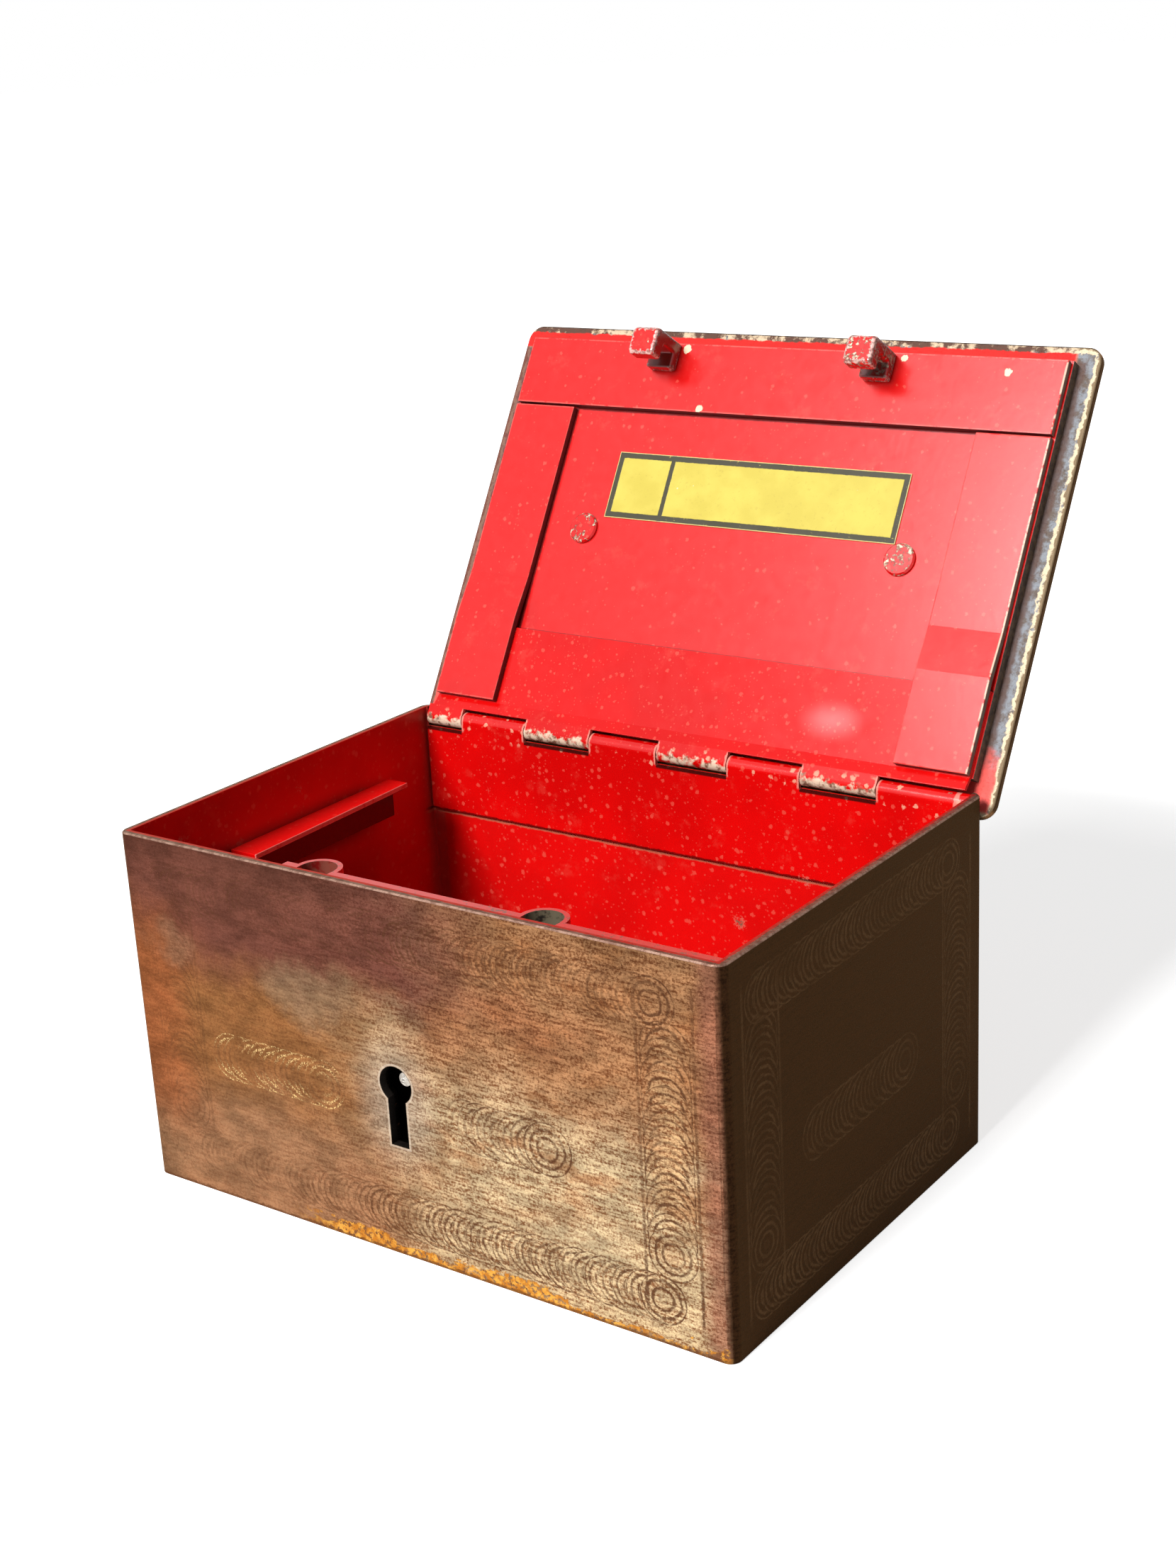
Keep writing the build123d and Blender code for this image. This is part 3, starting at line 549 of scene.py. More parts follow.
def lid_plate_finish():
    """The lid's inner plate: enamel face, brown edges darkened as painted shade, painted shade lines along
    the strips' feet and the hinge leaf's edge.
    """
    material, g, shader = new_material("lid_plate_enamel")
    place = g.lid_millimetres()
    x, y, _ = g.split(place)
    tone, rough, metal, height = enamel(g, place, 0.13, 0.16)
    # Painted shade: dark lines along the strips' feet and along the hinge leaf's edge
    beside_strip = g.less(STRIP_INNER_EDGE, g.size(x))
    below_strip = g.less(STRIP_REAR, g.times(y, -1.0))
    foot = g.smaller(beside_strip, below_strip)
    line = g.fall(g.add(g.size(foot), g.wobble(place, 0.5, 0.12)), 0.5, 1.15)
    tone = g.paint(g.times(line, 0.85), tone, CREVICE_SHADE_AND_GRIME)
    past_leaf = g.less(g.add(g.times(y, -1.0), g.wobble(place, 0.4, 0.08)), LID_LEAF_REACH)
    tone = g.paint(g.times(g.between(past_leaf, -0.1, 0.45, 0.1), 0.75), tone, CREVICE_SHADE_AND_GRIME)
    # The plate's sides brown, darkened as painted shade
    near_side = sheet_edges(g, x, y, PLATE_HALF_WIDTH, 7.0, PLATE_FRONT)
    mottle = g.patchy(place, 0.5, 0.4, 0.6)
    brown = g.paint(mottle, colour(44, 30, 20), colour(84, 66, 48))
    side = g.fall(near_side, 0.06, 0.14)
    tone = g.paint(side, tone, brown)
    dress(g, shader, tone, g.mixed(side, rough, 0.6), metal, height)
    return material


def strip_finish(name, half_width, rear, front, inner_edge, marks):
    """A lid strip: pale worn arris round it, painted shade on its sides, dark brown on its outer side."""
    material, g, shader = new_material(name)
    place = g.lid_millimetres()
    x, y, _ = g.split(place)
    tone, rough, metal, height = enamel(g, place, 0.14, 0.16)
    near_side = sheet_edges(g, x, y, half_width, rear, front)
    ragged = g.patchy(place, 0.22, 0.40, 0.52)
    arris = g.between(near_side, 0.12, 0.5, 0.12)
    tone = g.paint(g.times(arris, ragged, 0.35), tone, colour(222, 120, 108))
    if inner_edge:
        from_inner = g.less(g.size(x), inner_edge)
        worn_inner = g.times(g.between(from_inner, 0.08, 0.35, 0.08), ragged, 0.35)
        tone = g.paint(worn_inner, tone, colour(222, 96, 86))
        near_side = g.smaller(near_side, from_inner)
    outer_arris = g.times(g.fall(g.less(half_width, g.size(x)), 0.35, 0.8), g.rise(x, -20.0, 20.0))
    tone = g.paint(g.times(outer_arris, ragged, 0.75), tone, PALE_STEEL)
    for mark_x, reach, radius in marks:
        tone = g.paint(mark(g, place, mark_x, reach, radius), tone, colour(222, 200, 168))
    # The sides painted dark as shade, dark brown on the outer side
    side = g.fall(near_side, 0.06, 0.13)
    painted_side_shade = g.paint(g.rise(g.size(x), half_width - 0.3, half_width - 0.1), CREVICE_SHADE_AND_GRIME, colour(58, 42, 28))
    tone = g.paint(g.times(side, 0.92), tone, painted_side_shade)
    dress(g, shader, tone, g.mixed(side, rough, 0.6), metal, height)
    return material


def hook_finish(name, x, wear):
    """A hook: enamel left in the middle of its faces, bare along its edges, painted shade in its mouth and
    on its right side.
    """
    material, g, shader = new_material(name)
    place = g.lid_millimetres()
    tone, rough, metal, height = enamel(g, place, wear, 0.4)
    low = (x - HOOK_HALF_WIDTH, -HOOK_FRONT, -HOOK_END)
    high = (x + HOOK_HALF_WIDTH, -HOOK_REAR, -HOOK_FOOT)
    edges = use_group(g, BLOCK_EDGES, {"Place": place, "Low": low, "High": high, "Width": 1.15})["Edges"]
    bright = g.patchy(place, 0.8, 0.40, 0.58)
    bare = g.paint(bright, colour(128, 84, 74), colour(216, 178, 168))
    tone = g.paint(g.times(edges, 0.9), tone, bare)
    here_x, here_y, here_z = g.split(place)
    # Painted shade in the hook's mouth and on its right side
    in_mouth = g.times(g.between(here_z, -12.5, -5.8, 0.3), g.rise(here_y, -126.4, -125.8))
    right_side = g.times(g.rise(here_x, x + 4.4, x + 4.7), 0.55)
    tone = g.paint(g.either(g.times(in_mouth, 0.8), right_side), tone, colour(66, 34, 28))
    dress(g, shader, tone, rough, metal, height, relief=0.00015)
    return material


# Steel

def patch(g, x, z, middle_x, middle_z, reach_x, reach_z, strength):
    """A soft oval patch on the front."""
    off_x = g.times(g.less(x, middle_x), 1.0 / reach_x)
    off_z = g.times(g.less(z, middle_z), 1.0 / reach_z)
    return g.times(g.fall(g.length(off_x, off_z), 0.3, 1.1), strength)


def on_front(g, y):
    """1 at the front wall, 0 behind it."""
    return g.fall(y, -60.0, -55.0)


def front_stains_and_reflection(g, place, x, z):
    """The two speckle tones of the front, which change from place to place: stains and wear, with painted
    reflection making the upper left darker and the lower right lighter, and painted shade along the left and
    top edges.
    """
    soft_x = g.add(x, g.wobble(place, 0.030, 11.0))
    soft_z = g.add(z, g.wobble(place, 0.040, 7.0))
    streaks = g.noise(g.stretched(place, (0.4, 1.0, 1.0)), 0.085, 4.0, 0.65)
    rusty = g.times(g.rise(streaks, 0.48, 0.62), g.rise(z, 14.0, 40.0))
    pale = colour(236, 212, 168)
    brown = colour(136, 88, 54)
    from_key = g.length(g.less(x, KEYHOLE_X), g.times(g.less(z, 46.0), 0.7))
    upper_right = g.times(g.rise(soft_z, 42.0, 72.0), g.rise(soft_x, -8.0, 14.0), 0.85)
    lower_left = g.times(g.fall(soft_z, 22.0, 46.0), g.fall(soft_x, -24.0, 8.0))
    upper_left = g.times(g.rise(soft_z, 62.0, 84.0), g.fall(soft_x, -6.0, 44.0))
    left_margin = g.times(g.fall(soft_x, -96.0, -68.0), g.between(soft_z, 20.0, 82.0, 14.0), 0.8)
    right_margin = g.times(g.rise(g.add(x, g.wobble(place, 0.2, 1.2)), 89.5, 96.0), 0.8)
    # The broad zones paint the upper left darker and the lower right lighter, as painted reflection; the
    # rusty streaks and the pale place round the keyhole are stains and wear
    zones = (
        (g.times(rusty, 0.75), (198, 142, 94), (138, 88, 56)),
        (g.fall(soft_x, -40.0, 24.0), (180, 124, 76), (126, 76, 44)),
        (upper_right, (192, 132, 86), (120, 70, 42)),
        (lower_left, (190, 144, 106), (134, 88, 60)),
        (upper_left, (136, 84, 70), (104, 58, 46)),
        (left_margin, (200, 118, 72), (148, 80, 46)),
        (g.times(g.fall(from_key, 4.0, 18.0), 0.75), (204, 186, 164), (144, 120, 98)),
        (right_margin, (176, 116, 92), (126, 76, 58)),
        (patch(g, soft_x, soft_z, -34.0, 71.0, 18.0, 11.0, 0.5), (180, 156, 124), (138, 108, 82)),
        (patch(g, soft_x, soft_z, -86.0, 76.0, 11.0, 9.0, 0.4), (190, 154, 122), (136, 94, 72)),
        (patch(g, soft_x, soft_z, 58.0, 22.0, 20.0, 9.0, 0.6), (226, 208, 168), (170, 136, 100)),
        (patch(g, soft_x, soft_z, 40.0, 78.0, 26.0, 9.0, 0.45), (184, 114, 76), (116, 66, 44)),
        (patch(g, soft_x, soft_z, 83.0, 58.0, 10.0, 30.0, 0.7), (244, 204, 150), (140, 84, 52)),
    )
    for mask, zone_pale, zone_brown in zones:
        pale = g.paint(mask, pale, colour(*zone_pale))
        brown = g.paint(mask, brown, colour(*zone_brown))
    blotches = g.rise(g.noise(g.stretched(place, (0.6, 1.0, 1.0)), 0.13, 5.0, 0.65), 0.36, 0.64)
    shade = g.mixed(blotches, 0.54, 0.84)
    # Painted shade: darker along the left and top edges
    left_edge = g.fall(g.add(x, g.wobble(place, 0.1, 2.0)), -98.0, -89.0)
    top_edge = g.rise(g.add(z, g.wobble(place, 0.1, 1.5)), 98.0, 106.0)
    shade = g.times(shade, g.mixed(left_edge, 1.0, 0.80), g.mixed(top_edge, 1.0, 0.78))
    deeper = g.node("ShaderNodeCombineXYZ", {0: shade, 1: shade, 2: shade}).outputs[0]
    return g.paint(1.0, pale, deeper, "MULTIPLY"), g.paint(1.0, brown, deeper, "MULTIPLY")


def box_rows(g, place, x, y, z, side):
    """Turned rows round each wall: a border, and a middle row that the keyhole interrupts."""
    along = g.mixed(side, x, y)
    jitter = g.add(g.wobble(place, 0.9, 0.30), g.wobble(place, 0.2, 0.35))
    left_end = g.mixed(side, -84.0, -52.0)
    right_end = g.mixed(side, 80.0, 48.0)
    down = g.times(z, -1.0)
    column = g.less(g.size(along), g.mixed(side, 83.0, 52.0))
    middle = g.less(z, 45.5)
    rows = (
        (along, g.less(z, 12.6), left_end, right_end, 7.2),
        (along, g.less(z, 93.6), left_end, right_end, 7.2),
        (down, column, -82.0, -22.0, 7.6),
        (along, middle, g.mixed(side, 20.0, -26.0), g.mixed(side, 47.5, 24.0), 7.8),
    )
    lines = 0.0
    for row_along, across, first, last, radius in rows:
        row = use_group(g, TURNED_ROW, {"Along": row_along, "Across": across, "First": first, "Last": last,
                                        "Radius": radius, "Jitter": jitter})
        lines = g.either(lines, row["Lines"])
    left_row = use_group(g, TURNED_ROW, {"Along": x, "Across": middle, "First": -64.0, "Last": -28.0,
                                         "Radius": 7.4, "Jitter": jitter})
    left_row = g.times(left_row["Lines"], g.inverse(side))
    lines = g.either(lines, left_row)
    for rule in (8.3, -8.3):
        off = g.size(g.less(column, rule))
        drawn = g.fall(g.add(off, g.size(jitter)), 0.3, 0.8)
        lines = g.either(lines, g.times(drawn, g.between(z, 8.0, 98.0, 3.0), 0.8))
    long_breaks = g.rise(g.noise(place, 0.14, 3.0, 0.6), 0.36, 0.52)
    short_breaks = g.rise(g.noise(place, 2.0, 2.0, 0.6), 0.47, 0.56)
    dashes = g.times(long_breaks, short_breaks)
    glints = g.times(left_row, g.rise(g.size(middle), 1.0, 5.0), dashes, on_front(g, y))
    return lines, glints


def keyhole_edge(g, x, z):
    """Distance from the keyhole's outline, below zero inside the hole."""
    off_x = g.less(x, KEYHOLE_X)
    round_part = g.less(g.length(off_x, g.less(z, KEYHOLE_Z)), KEYHOLE_RADIUS)
    beside_slot = g.less(g.size(off_x), KEY_SLOT_HALF_WIDTH)
    past_slot = g.either(g.less(KEY_SLOT_LOW, z), g.less(z, KEYHOLE_Z))
    return g.smaller(round_part, g.either(beside_slot, past_slot))


def box_finish():
    """Steel outside, bare rim, red enamel inside, all on one sheet."""
    material, g, shader = new_material("box_steel_and_enamel")
    place = g.millimetres()
    x, y, z = g.split(place)
    side = g.rise(g.less(g.less(g.size(x), g.size(y)), 31.5), -2.7, 0.4)
    pale, brown = front_stains_and_reflection(g, place, x, z)
    # The right wall is painted much darker than the left, as painted shade
    at_right = g.rise(x, -20.0, 20.0)
    pale = g.paint(side, pale, g.paint(at_right, colour(124, 88, 58), colour(50, 31, 17)))
    brown = g.paint(side, brown, g.paint(at_right, colour(84, 54, 34), colour(30, 17, 9)))
    behind = g.times(g.rise(y, -20.0, 20.0), g.inverse(side))
    pale = g.paint(behind, pale, colour(112, 80, 54))
    brown = g.paint(behind, brown, colour(76, 50, 32))
    speckle = g.add(0.45, g.times(g.rise(x, -70.0, 20.0), 0.55))
    steel = use_group(g, STEEL_PATINA, {"Place": place, "Pale": pale, "Brown": brown, "Speckle": speckle})
    tone = steel["Colour"]

    lines, glints = box_rows(g, place, x, y, z, side)
    kept = g.patchy(place, 0.06, 0.38, 0.60)
    kept = g.add(g.times(kept, 0.45), g.times(g.rise(x, -50.0, 30.0), 0.30))
    kept = g.add(kept, g.times(g.fall(z, 18.0, 24.0), g.rise(x, -60.0, -20.0), 0.35))
    kept = g.add(kept, g.times(g.between(z, 37.0, 54.0, 2.0), g.between(x, 20.0, 58.0, 4.0), 0.30))
    kept = g.add(kept, g.times(g.rise(x, 72.0, 76.0), g.inverse(side), 0.35))
    strokes = g.rise(g.noise(g.stretched(place, (0.7, 0.7, 1.0)), 0.95, 3.0, 0.6), 0.36, 0.54)
    lines = g.times(lines, g.times(kept, g.mixed(strokes, 0.45, 1.0)))
    line_tone = g.paint(side, colour(84, 52, 34), colour(82, 60, 40))
    tone = g.paint(g.smaller(g.times(lines, g.mixed(side, 0.95, 0.58)), 0.9), tone, line_tone)
    tone = g.paint(g.times(glints, 0.8), tone, colour(238, 204, 140))

    # Mustard chips along the bottom edge, dark under them
    swells = g.rise(g.noise(g.stretched(place, (0.4, 1.0, 1.0)), 0.14, 3.0, 0.6), 0.36, 0.60)
    depth = g.add(g.times(swells, 3.6), 1.5)
    above = g.add(g.less(z, depth), g.wobble(place, 0.55, 0.7))
    chipped = g.times(g.fall(above, -0.3, 0.2), g.rise(x, -48.0, -26.0), g.inverse(side))
    chipped = g.times(chipped, on_front(g, y))
    flaked = g.fall(g.noise(place, 0.7, 4.0, 0.7), 0.50, 0.58)
    thinned = g.times(g.rise(x, 66.0, 86.0), g.patchy(place, 0.4, 0.46, 0.54))
    flaked = g.times(flaked, g.inverse(thinned))
    bright = g.rise(g.noise(place, 0.5, 3.0, 0.6), 0.40, 0.64)
    mustard = g.paint(bright, colour(178, 116, 42), colour(214, 162, 74))
    tone = g.paint(g.times(chipped, 0.7), tone, colour(104, 66, 40))
    tone = g.paint(g.times(chipped, flaked), tone, mustard)
    foot = g.fall(g.add(z, g.wobble(place, 0.5, 0.5)), 0.5, 1.1)
    tone = g.paint(g.times(foot, g.inverse(side), 0.75), tone, colour(88, 54, 34))

    # Keyhole: its bore painted black as shade, a pale rubbed edge
    off_key = keyhole_edge(g, x, z)
    at_front = on_front(g, y)
    rubbed = g.times(g.between(off_key, 0.15, 0.7, 0.15), at_front, 0.45)
    tone = g.paint(rubbed, tone, colour(214, 200, 182))
    hole = g.times(g.fall(off_key, 0.03, 0.10), at_front)
    tone = g.paint(hole, tone, colour(14, 11, 10))

    # Rim: grey outside half, enamel run over the inner half, painted pinker there as a highlight along the
    # inner edge
    top = g.rise(z, 106.45, 106.7)
    mottle = g.patchy(place, 0.5, 0.4, 0.6)
    tone = g.paint(top, tone, g.paint(mottle, colour(112, 84, 72), colour(142, 114, 100)))
    from_inside = g.either(g.less(g.size(x), INSIDE_X), g.less(g.size(y), INSIDE_Y))
    ragged_in = g.add(from_inside, g.wobble(place, 0.35, 0.3))
    tone = g.paint(g.times(top, g.fall(ragged_in, 0.75, 1.15), 0.8), tone, colour(200, 52, 46))

    inside = g.times(g.fall(from_inside, 0.10, 0.25), g.fall(z, 106.7, 106.95), g.inverse(hole))
    red, red_rough, red_metal, red_height = box_inside_enamel(g, place)
    tone = g.paint(inside, tone, red)
    rough = g.mixed(inside, steel["Roughness"], red_rough)
    metal = g.mixed(g.either(inside, hole), 1.0, red_metal)
    height = g.less(g.times(steel["Height"], 0.7), g.times(lines, 0.45))
    dress(g, shader, tone, rough, metal, g.mixed(inside, height, red_height))
    shader.inputs["Specular Tint"].default_value = STEEL_SHEEN
    return material


def lid_cover_finish():
    """Turned steel outside, its sides painted dark brown as shade; inside, a bare grey ledge with a cream
    worn line near its edge and painted shadow on its inner part.
    """
    material, g, shader = new_material("lid_cover_steel")
    place = g.lid_millimetres()
    x, y, z = g.split(place)
    steel = use_group(g, STEEL_PATINA, {"Place": place, "Pale": colour(132, 96, 64),
                                        "Brown": colour(84, 55, 36), "Speckle": 0.8})
    tone = steel["Colour"]
    jitter = g.wobble(place, 0.9, 0.28)
    rows = (
        (x, g.add(y, 122.0), -84.0, 80.0),
        (x, g.add(y, 12.0), -84.0, 80.0),
        (y, g.less(g.size(x), 85.0), -110.0, -24.0),
        (x, g.add(y, 67.0), -30.0, 26.0),
    )
    lines = 0.0
    for along, across, first, last in rows:
        row = use_group(g, TURNED_ROW, {"Along": along, "Across": across, "First": first, "Last": last,
                                        "Jitter": jitter})
        lines = g.either(lines, row["Lines"])
    outside = g.rise(z, 6.0, 6.4)
    lines = g.times(lines, outside, g.patchy(place, 0.06, 0.34, 0.58))
    tone = g.paint(g.times(lines, 0.6), tone, colour(56, 36, 24))

    # Ledge round the inner plate
    reach = g.times(y, -1.0)
    from_side = g.less(LID_HALF_WIDTH, g.size(x))
    from_front = g.less(LID_FRONT, reach)
    from_rear = g.less(reach, LID_REAR)
    from_edge = g.smaller(from_side, g.smaller(from_front, from_rear))
    uneven = g.add(from_edge, g.wobble(place, 0.22, 0.8))
    mottle = g.patchy(place, 0.28, 0.40, 0.62)
    ledge = g.paint(mottle, colour(116, 121, 128), colour(84, 74, 68))
    # Painted shadow of the inner plate's step on the ledge's inner part
    ledge = g.paint(g.times(g.rise(uneven, 3.8, 5.2), 0.85), ledge, colour(74, 52, 46))
    ledge = g.paint(g.fall(uneven, 1.2, 1.6), ledge, colour(112, 94, 70))
    broken = g.patchy(place, 0.30, 0.36, 0.46)
    cream = g.times(g.between(g.add(uneven, g.wobble(place, 0.6, 0.5)), 1.2, 2.3, 0.2), broken)
    ledge = g.paint(cream, ledge, colour(192, 176, 148))
    at_top = g.times(g.fall(from_front, 7.0, 8.0), g.fall(x, 93.5, 95.0))
    front_line = g.add(from_front, g.wobble(place, 0.3, 0.5))
    ledge = g.paint(g.times(at_top, broken, 0.85), ledge, colour(190, 168, 140))
    rusted = g.times(at_top, g.patchy(place, 0.12, 0.44, 0.54))
    ledge = g.paint(rusted, ledge, colour(74, 46, 36))
    ledge = g.paint(g.times(at_top, g.rise(front_line, 1.9, 2.4)), ledge, colour(188, 8, 8))
    at_left = g.fall(x, -90.0, -85.0)
    ledge = g.paint(g.times(at_left, g.inverse(at_top), 0.85), ledge, colour(88, 36, 30))
    at_hinge = g.fall(g.add(reach, g.wobble(place, 0.2, 3.0)), 10.0, 18.0)
    ledge = g.paint(g.times(at_hinge, g.rise(uneven, 1.4, 2.2), 0.9), ledge, colour(206, 70, 64))
    ledge = g.paint(g.times(at_top, g.fall(front_line, 0.3, 0.6), 0.8), ledge, colour(40, 26, 18))
    # The cover's outer sides painted dark brown, as painted shade
    dark_side = g.times(g.fall(from_edge, 0.3, 0.9), g.fall(z, 5.6, 6.2))
    side_tone = g.paint(mottle, colour(58, 40, 26), colour(38, 24, 14))
    tone = g.paint(g.times(dark_side, 0.9), tone, side_tone)
    inner = g.fall(z, 3.75, 3.95)
    tone = g.paint(inner, tone, ledge)
    rough = g.mixed(inner, steel["Roughness"], 0.58)
    metal = g.mixed(inner, 1.0, 0.25)
    dress(g, shader, tone, rough, metal, g.less(steel["Height"], g.times(lines, 0.5)))
    shader.inputs["Specular Tint"].default_value = STEEL_SHEEN
    return material


def brown_steel(name, pale, brown):
    material, g, shader = new_material(name)
    place = g.millimetres()
    steel = use_group(g, STEEL_PATINA, {"Place": place, "Pale": pale, "Brown": brown, "Speckle": 0.8})
    worn = g.rise(g.noise(place, 0.2, 4.0, 0.65), 0.52, 0.66)
    tone = g.paint(g.times(worn, 0.45), steel["Colour"], colour(168, 150, 128))
    dress(g, shader, tone, steel["Roughness"], 1.0, steel["Height"], relief=0.0001)
    return material


def plain_steel(name, light, dark, rusty):
    material, g, shader = new_material(name)
    place = g.millimetres()
    cloud = g.rise(g.noise(place, 0.14, 4.0, 0.65), 0.35, 0.7)
    tone = g.paint(cloud, dark, light)
    scratches = g.rise(g.noise(g.stretched(place, (0.2, 0.2, 1.0)), 2.2, 3.0, 0.65), 0.50, 0.62)
    tone = g.paint(g.times(scratches, 0.25), tone, light, "SCREEN")
    rust = g.rise(g.noise(place, 0.7, 4.0, 0.7), 0.66 - rusty * 0.14, 0.72 - rusty * 0.14)
    tone = g.paint(g.times(rust, 0.7), tone, RUST)
    rough = g.add(0.30, g.times(rust, 0.3))
    metal = g.less(1.0, g.times(rust, 0.7))
    dress(g, shader, tone, rough, metal, scratches, relief=0.00004)
    return material


def lock_cover_finish():
    """Enamel on the sides that face the box; inside the lock and its two pockets painted dark as shade, near
    black in the left pocket and deep red elsewhere.
    """
    material, g, shader = new_material("lock_cover_enamel")
    place = g.millimetres()
    x, y, z = g.split(place)
    tone, rough, metal, height = box_inside_enamel(g, place)
    # The top edge painted pinker as a highlight, with worn bare patches
    top = g.rise(g.add(z, g.wobble(place, 0.5, 0.15)), 100.2, 100.45)
    bared = g.patchy(place, 0.45, 0.56, 0.66)
    lit_and_worn_top = g.paint(bared, colour(200, 62, 56), colour(104, 84, 70))
    tone = g.paint(g.times(top, 0.9), tone, lit_and_worn_top)
    # Painted shade inside the hook pockets and the lock
    off_y = g.less(y, LOCK_FACE_Y)
    from_left = g.length(g.less(x, LEFT_HOOK_X), off_y)
    from_right = g.length(g.less(x, RIGHT_HOOK_X), off_y)
    from_boss = g.smaller(from_left, from_right)
    in_boss = g.times(g.fall(from_boss, 5.52, 5.6), g.rise(z, 83.0, 84.0))
    in_lock = g.times(g.fall(y, -52.68, -52.6), g.fall(z, 99.0, 99.08))
    dark = g.either(in_boss, in_lock)
    in_left_boss = g.times(in_boss, g.fall(x, -10.0, 0.0))
    tone = g.paint(dark, tone, g.paint(in_left_boss, colour(34, 28, 24), colour(118, 16, 14)))
    patches = g.patchy(place, 0.3, 0.36, 0.52)
    grey_patch = g.times(in_boss, patches, g.rise(z, 92.0, 96.0))
    strength = g.mixed(g.rise(x, -10.0, 0.0), 0.25, 0.5)
    tone = g.paint(g.times(grey_patch, strength), tone, colour(122, 112, 90))
    dress(g, shader, tone, rough, metal, height)
    return material


def label_finish():
    """Yellow printed field with a dark border and one divider; no words."""
    material, g, shader = new_material("label_yellow")
    place = g.lid_millimetres()
    x, y, _ = g.split(place)
    reach = g.times(y, -1.0)
    from_left = g.less(x, LABEL_LEFT)
    from_right = g.less(LABEL_RIGHT, x)
    from_rear = g.less(reach, LABEL_REAR)
    from_front = g.less(LABEL_FRONT, reach)
    nearest = g.smaller(g.smaller(from_left, from_right), g.smaller(from_rear, from_front))
    ragged = g.wobble(place, 0.8, 0.10)
    border = g.between(g.add(nearest, ragged), 0.20, 1.95, 0.14)
    divider = g.fall(g.add(g.size(g.less(from_left, DIVIDER_FROM_LEFT)), ragged), 0.65, 0.9)
    printed = g.either(border, divider)
    worn = g.patchy(place, 0.7, 0.26, 0.36)
    cloud = g.rise(g.noise(place, 0.08, 3.0, 0.6), 0.35, 0.7)
    tone = g.paint(cloud, colour(182, 165, 58), colour(194, 178, 74))
    fox = g.patchy(place, 1.0, 0.58, 0.68)
    tone = g.paint(g.times(fox, 0.30), tone, colour(150, 126, 44))
    flecks = spots(g, place, 0.35, 0.15, 0.14)
    tone = g.paint(g.times(flecks, 0.7), tone, colour(216, 208, 168))
    tone = g.paint(g.times(printed, worn, 0.97), tone, colour(26, 24, 12))
    thin_edge = g.fall(nearest, 0.12, 0.28)
    tone = g.paint(g.times(thin_edge, 0.6), tone, colour(200, 188, 140))
    dress(g, shader, tone, g.add(0.45, g.times(cloud, 0.12)), 0.0, g.times(printed, 0.4), relief=0.00006)
    shader.inputs["Specular IOR Level"].default_value = 0.3
    return material


# Finishes on the pieces

def finish_node(name, material):
    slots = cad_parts[name].data.materials
    if len(slots):
        for i in range(len(slots)):
            slots[i] = material
    else:
        slots.append(material)


def soften(name, width, segments=2):
    """Rounds the sharp edges of a CAD piece a little, as paint and wear do."""
    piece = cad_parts[name]
    weld = piece.modifiers.new("join_faces", "WELD")
    weld.merge_threshold = 0.000002
    bevel = piece.modifiers.new("soft_edges", "BEVEL")
    bevel.width = width
    bevel.segments = segments
    bevel.limit_method = "ANGLE"
    bevel.angle_limit = math.radians(35.0)
    bevel.harden_normals = False
    bevel.miter_outer = "MITER_ARC"


finish_node("body_shell", box_finish())
finish_node("lid_cover", lid_cover_finish())
finish_node("lid_inner_plate", lid_plate_finish())
finish_node("label_plate", label_finish())
finish_node("lock_cover", lock_cover_finish())
finish_node("lid_front_strip", strip_finish(
    "front_strip_enamel", STRIP_HALF_WIDTH, STRIP_REAR, STRIP_FRONT, None,
    ((-24.0, 109.4, 1.3), (77.0, 126.3, 1.3), (-34.0, 129.0, 1.5), (43.0, 129.2, 1.2))))
for name, strip_name in (("lid_left_strip", "left_strip_enamel"), ("lid_right_strip", "right_strip_enamel")):
    finish_node(name, strip_finish(
        strip_name, STRIP_HALF_WIDTH, SIDE_STRIP_REAR, SIDE_STRIP_FRONT, STRIP_INNER_EDGE, ()))
finish_node("box_leaf", hinge_finish("box_leaf_enamel", False))
finish_node("lid_leaf", hinge_finish("lid_leaf_enamel", True))
finish_node("hook_left", hook_finish("left_hook_enamel", LEFT_HOOK_X, 0.36))
finish_node("hook_right", hook_finish("right_hook_enamel", RIGHT_HOOK_X, 0.60))
finish_node("handle_rivets", red_enamel("rivet_enamel", 0.56, 0.8))

inside_red = inside_finish()
finish_node("bottom_plate", inside_red)
ledge_red = ledge_finish()
for name in ("tray_ledge_left", "tray_ledge_right"):
    finish_node(name, ledge_red)

bright_steel = plain_steel("pin_steel", colour(236, 230, 220), colour(200, 192, 180), 0.0)
worn_steel = plain_steel("worn_steel", colour(176, 170, 160), colour(120, 112, 102), 0.5)
lock_steel = plain_steel("lock_steel", colour(60, 54, 48), colour(34, 29, 25), 0.6)
handle_steel = brown_steel("handle_steel", colour(146, 112, 80), colour(88, 60, 40))
finish_node("drill_pin", bright_steel)
finish_node("lock_base", lock_steel)
for name in ("hinge_pin", "lock_posts", "cover_screws", "guide_studs", "stud_clips", "bolt_bar",
             "spring_post", "bolt_spring"):
    finish_node(name, worn_steel)
for name in ("handle_bracket_left", "handle_bracket_right", "handle_bail"):
    finish_node(name, handle_steel)

for name in ("lid_front_strip", "lid_left_strip", "lid_right_strip", "tray_ledge_left", "tray_ledge_right"):
    soften(name, 0.00035)
for name in ("hook_left", "hook_right"):
    soften(name, 0.0009, 3)
soften("drill_pin", 0.0009, 4)


# Room, light and camera

def seen_rays(g):
    """1 for rays that show the white room, and 1 for those straight from the camera."""
    path = g.node("ShaderNodeLightPath").outputs
    shiny = g.either(path["Is Glossy Ray"], path["Is Transmission Ray"])
    return g.either(path["Is Camera Ray"], shiny), path["Is Camera Ray"]


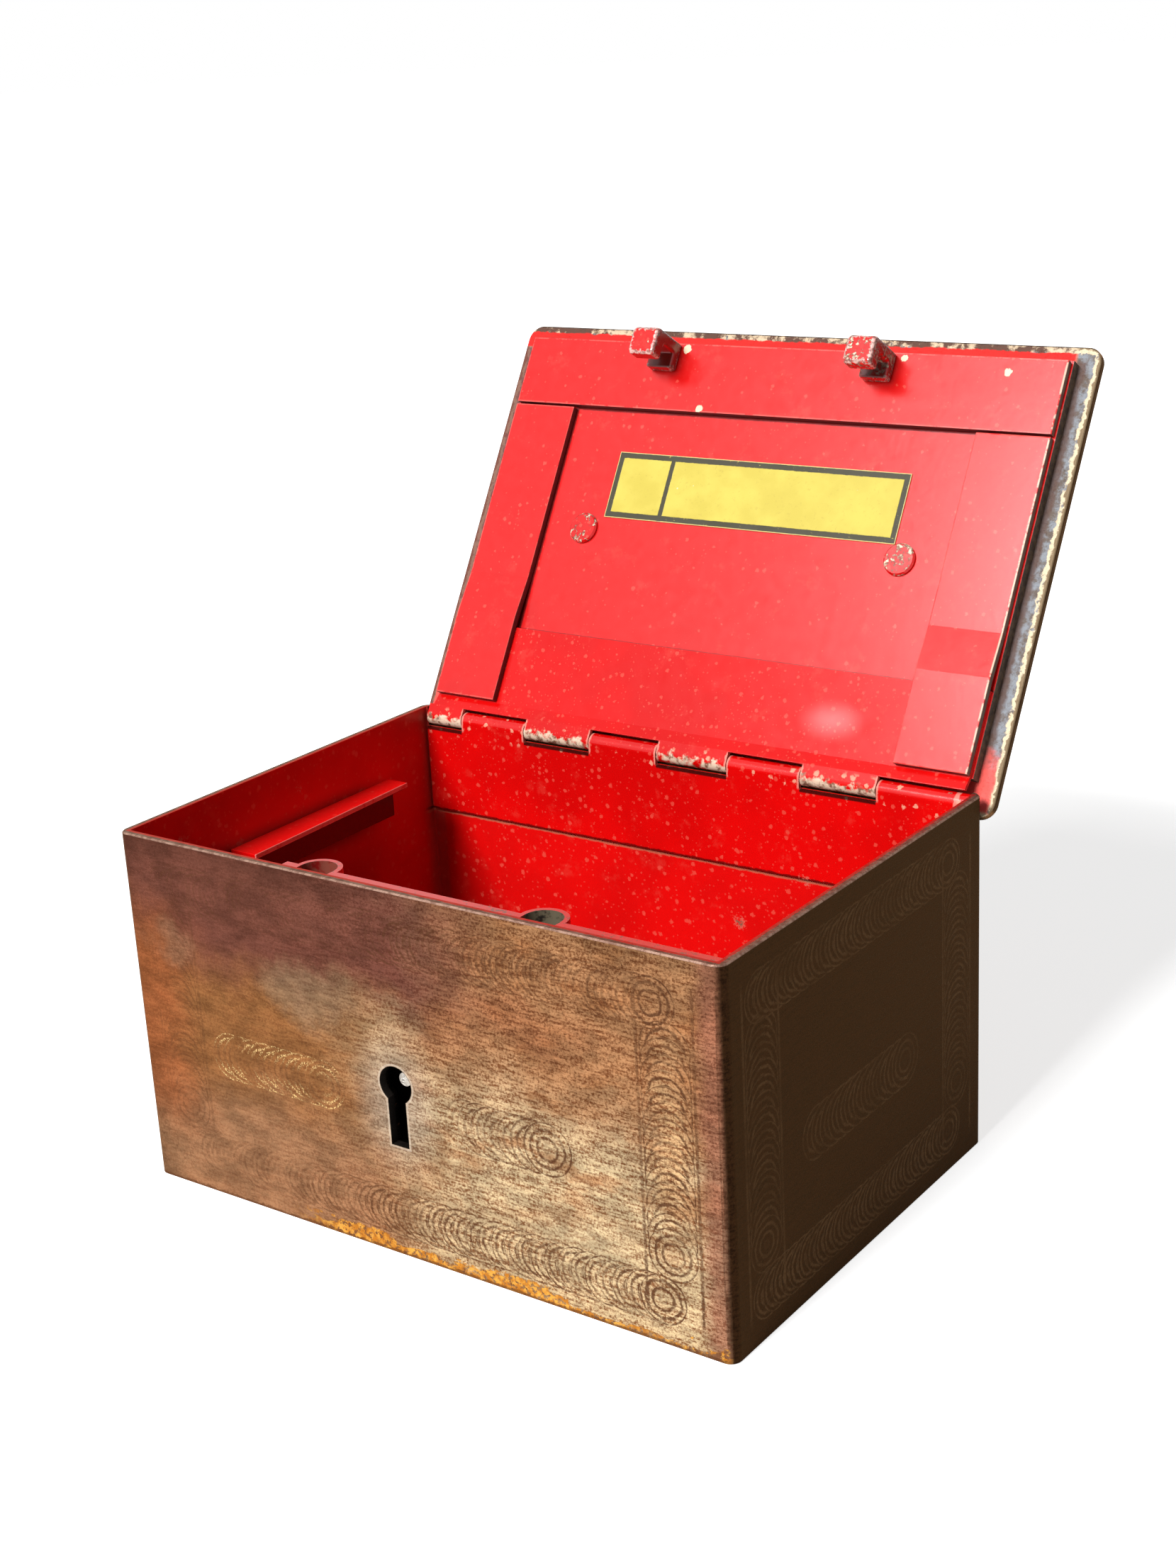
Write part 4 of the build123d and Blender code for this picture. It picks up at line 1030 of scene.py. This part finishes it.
def add_floor():
    # A little below the box's underside, so that the two don't lie in one plane
    bpy.ops.object.select_all(action="DESELECT")
    bpy.ops.mesh.primitive_plane_add(size=30.0, location=(0.0, 0.0, -0.0003))
    floor = bpy.context.object
    floor.name = "floor"
    material = bpy.data.materials.new("floor_white")
    material.use_nodes = True
    g = Graph(material.node_tree)
    material.node_tree.nodes.clear()
    rays, from_camera = seen_rays(g)
    lit = g.node("ShaderNodeBsdfDiffuse", {"Color": (0.86, 0.86, 0.86, 1.0)})
    strength = g.mixed(from_camera, 0.42, 0.72)
    glow = g.node("ShaderNodeEmission", {"Color": WHITE, "Strength": strength})
    dark = g.node("ShaderNodeEmission", {"Color": (0.0, 0.0, 0.0, 1.0), "Strength": 0.0})
    extra = g.node("ShaderNodeMixShader", {0: rays, 1: dark.outputs[0], 2: glow.outputs[0]})
    both = g.node("ShaderNodeAddShader", {0: lit.outputs[0], 1: extra.outputs[0]})
    g.node("ShaderNodeOutputMaterial", {"Surface": both.outputs[0]})
    floor.data.materials.append(material)


def light_world():
    world = bpy.data.worlds.new("studio")
    bpy.context.scene.world = world
    world.use_nodes = True
    world.node_tree.nodes.clear()
    g = Graph(world.node_tree)
    rays, _ = seen_rays(g)
    soft = g.node("ShaderNodeBackground", {"Color": WHITE, "Strength": 0.12})
    bright = g.node("ShaderNodeBackground", {"Color": WHITE, "Strength": 1.0})
    both = g.node("ShaderNodeMixShader", {0: rays, 1: soft.outputs[0], 2: bright.outputs[0]})
    g.node("ShaderNodeOutputWorld", {"Surface": both.outputs[0]})


def add_soft_light(name, direction, strength, width):
    """Even light from far away, as wide as a soft box looks from the table."""
    lamp = bpy.data.lights.new(name, "SUN")
    lamp.energy = strength
    lamp.angle = math.radians(width)
    holder = bpy.data.objects.new(name, lamp)
    bpy.context.scene.collection.objects.link(holder)
    holder.rotation_euler = Vector(direction).to_track_quat("Z", "Y").to_euler()


def add_camera():
    azimuth = math.radians(36.29)
    rise = math.radians(18.68)
    roll = math.radians(-3.11)
    back = Vector((math.sin(azimuth) * math.cos(rise), -math.cos(azimuth) * math.cos(rise), math.sin(rise)))
    level = (-back).cross(Vector((0.0, 0.0, 1.0))).normalized()
    up = level.cross(-back)
    across = level * math.cos(roll) + up * math.sin(roll)
    upward = up * math.cos(roll) - level * math.sin(roll)
    data = bpy.data.cameras.new("camera")
    data.sensor_fit = "VERTICAL"
    data.sensor_height = 36.0
    data.lens = 51.62
    data.clip_start = 0.01
    camera = bpy.data.objects.new("camera", data)
    turn = Matrix((across, upward, back)).transposed().to_4x4()
    target = Vector((0.01444, 0.0, 0.11767))
    distance = 0.6162
    camera.matrix_world = Matrix.Translation(target + back * distance) @ turn
    bpy.context.scene.collection.objects.link(camera)
    bpy.context.scene.camera = camera


add_floor()
light_world()
add_soft_light("front_light", (-0.10, -0.80, 0.60), 4.3, 18.0)
add_soft_light("left_light", (-0.30, -0.66, 0.69), 0.85, 12.0)
add_camera()
bpy.context.scene.view_settings.view_transform = "Standard"
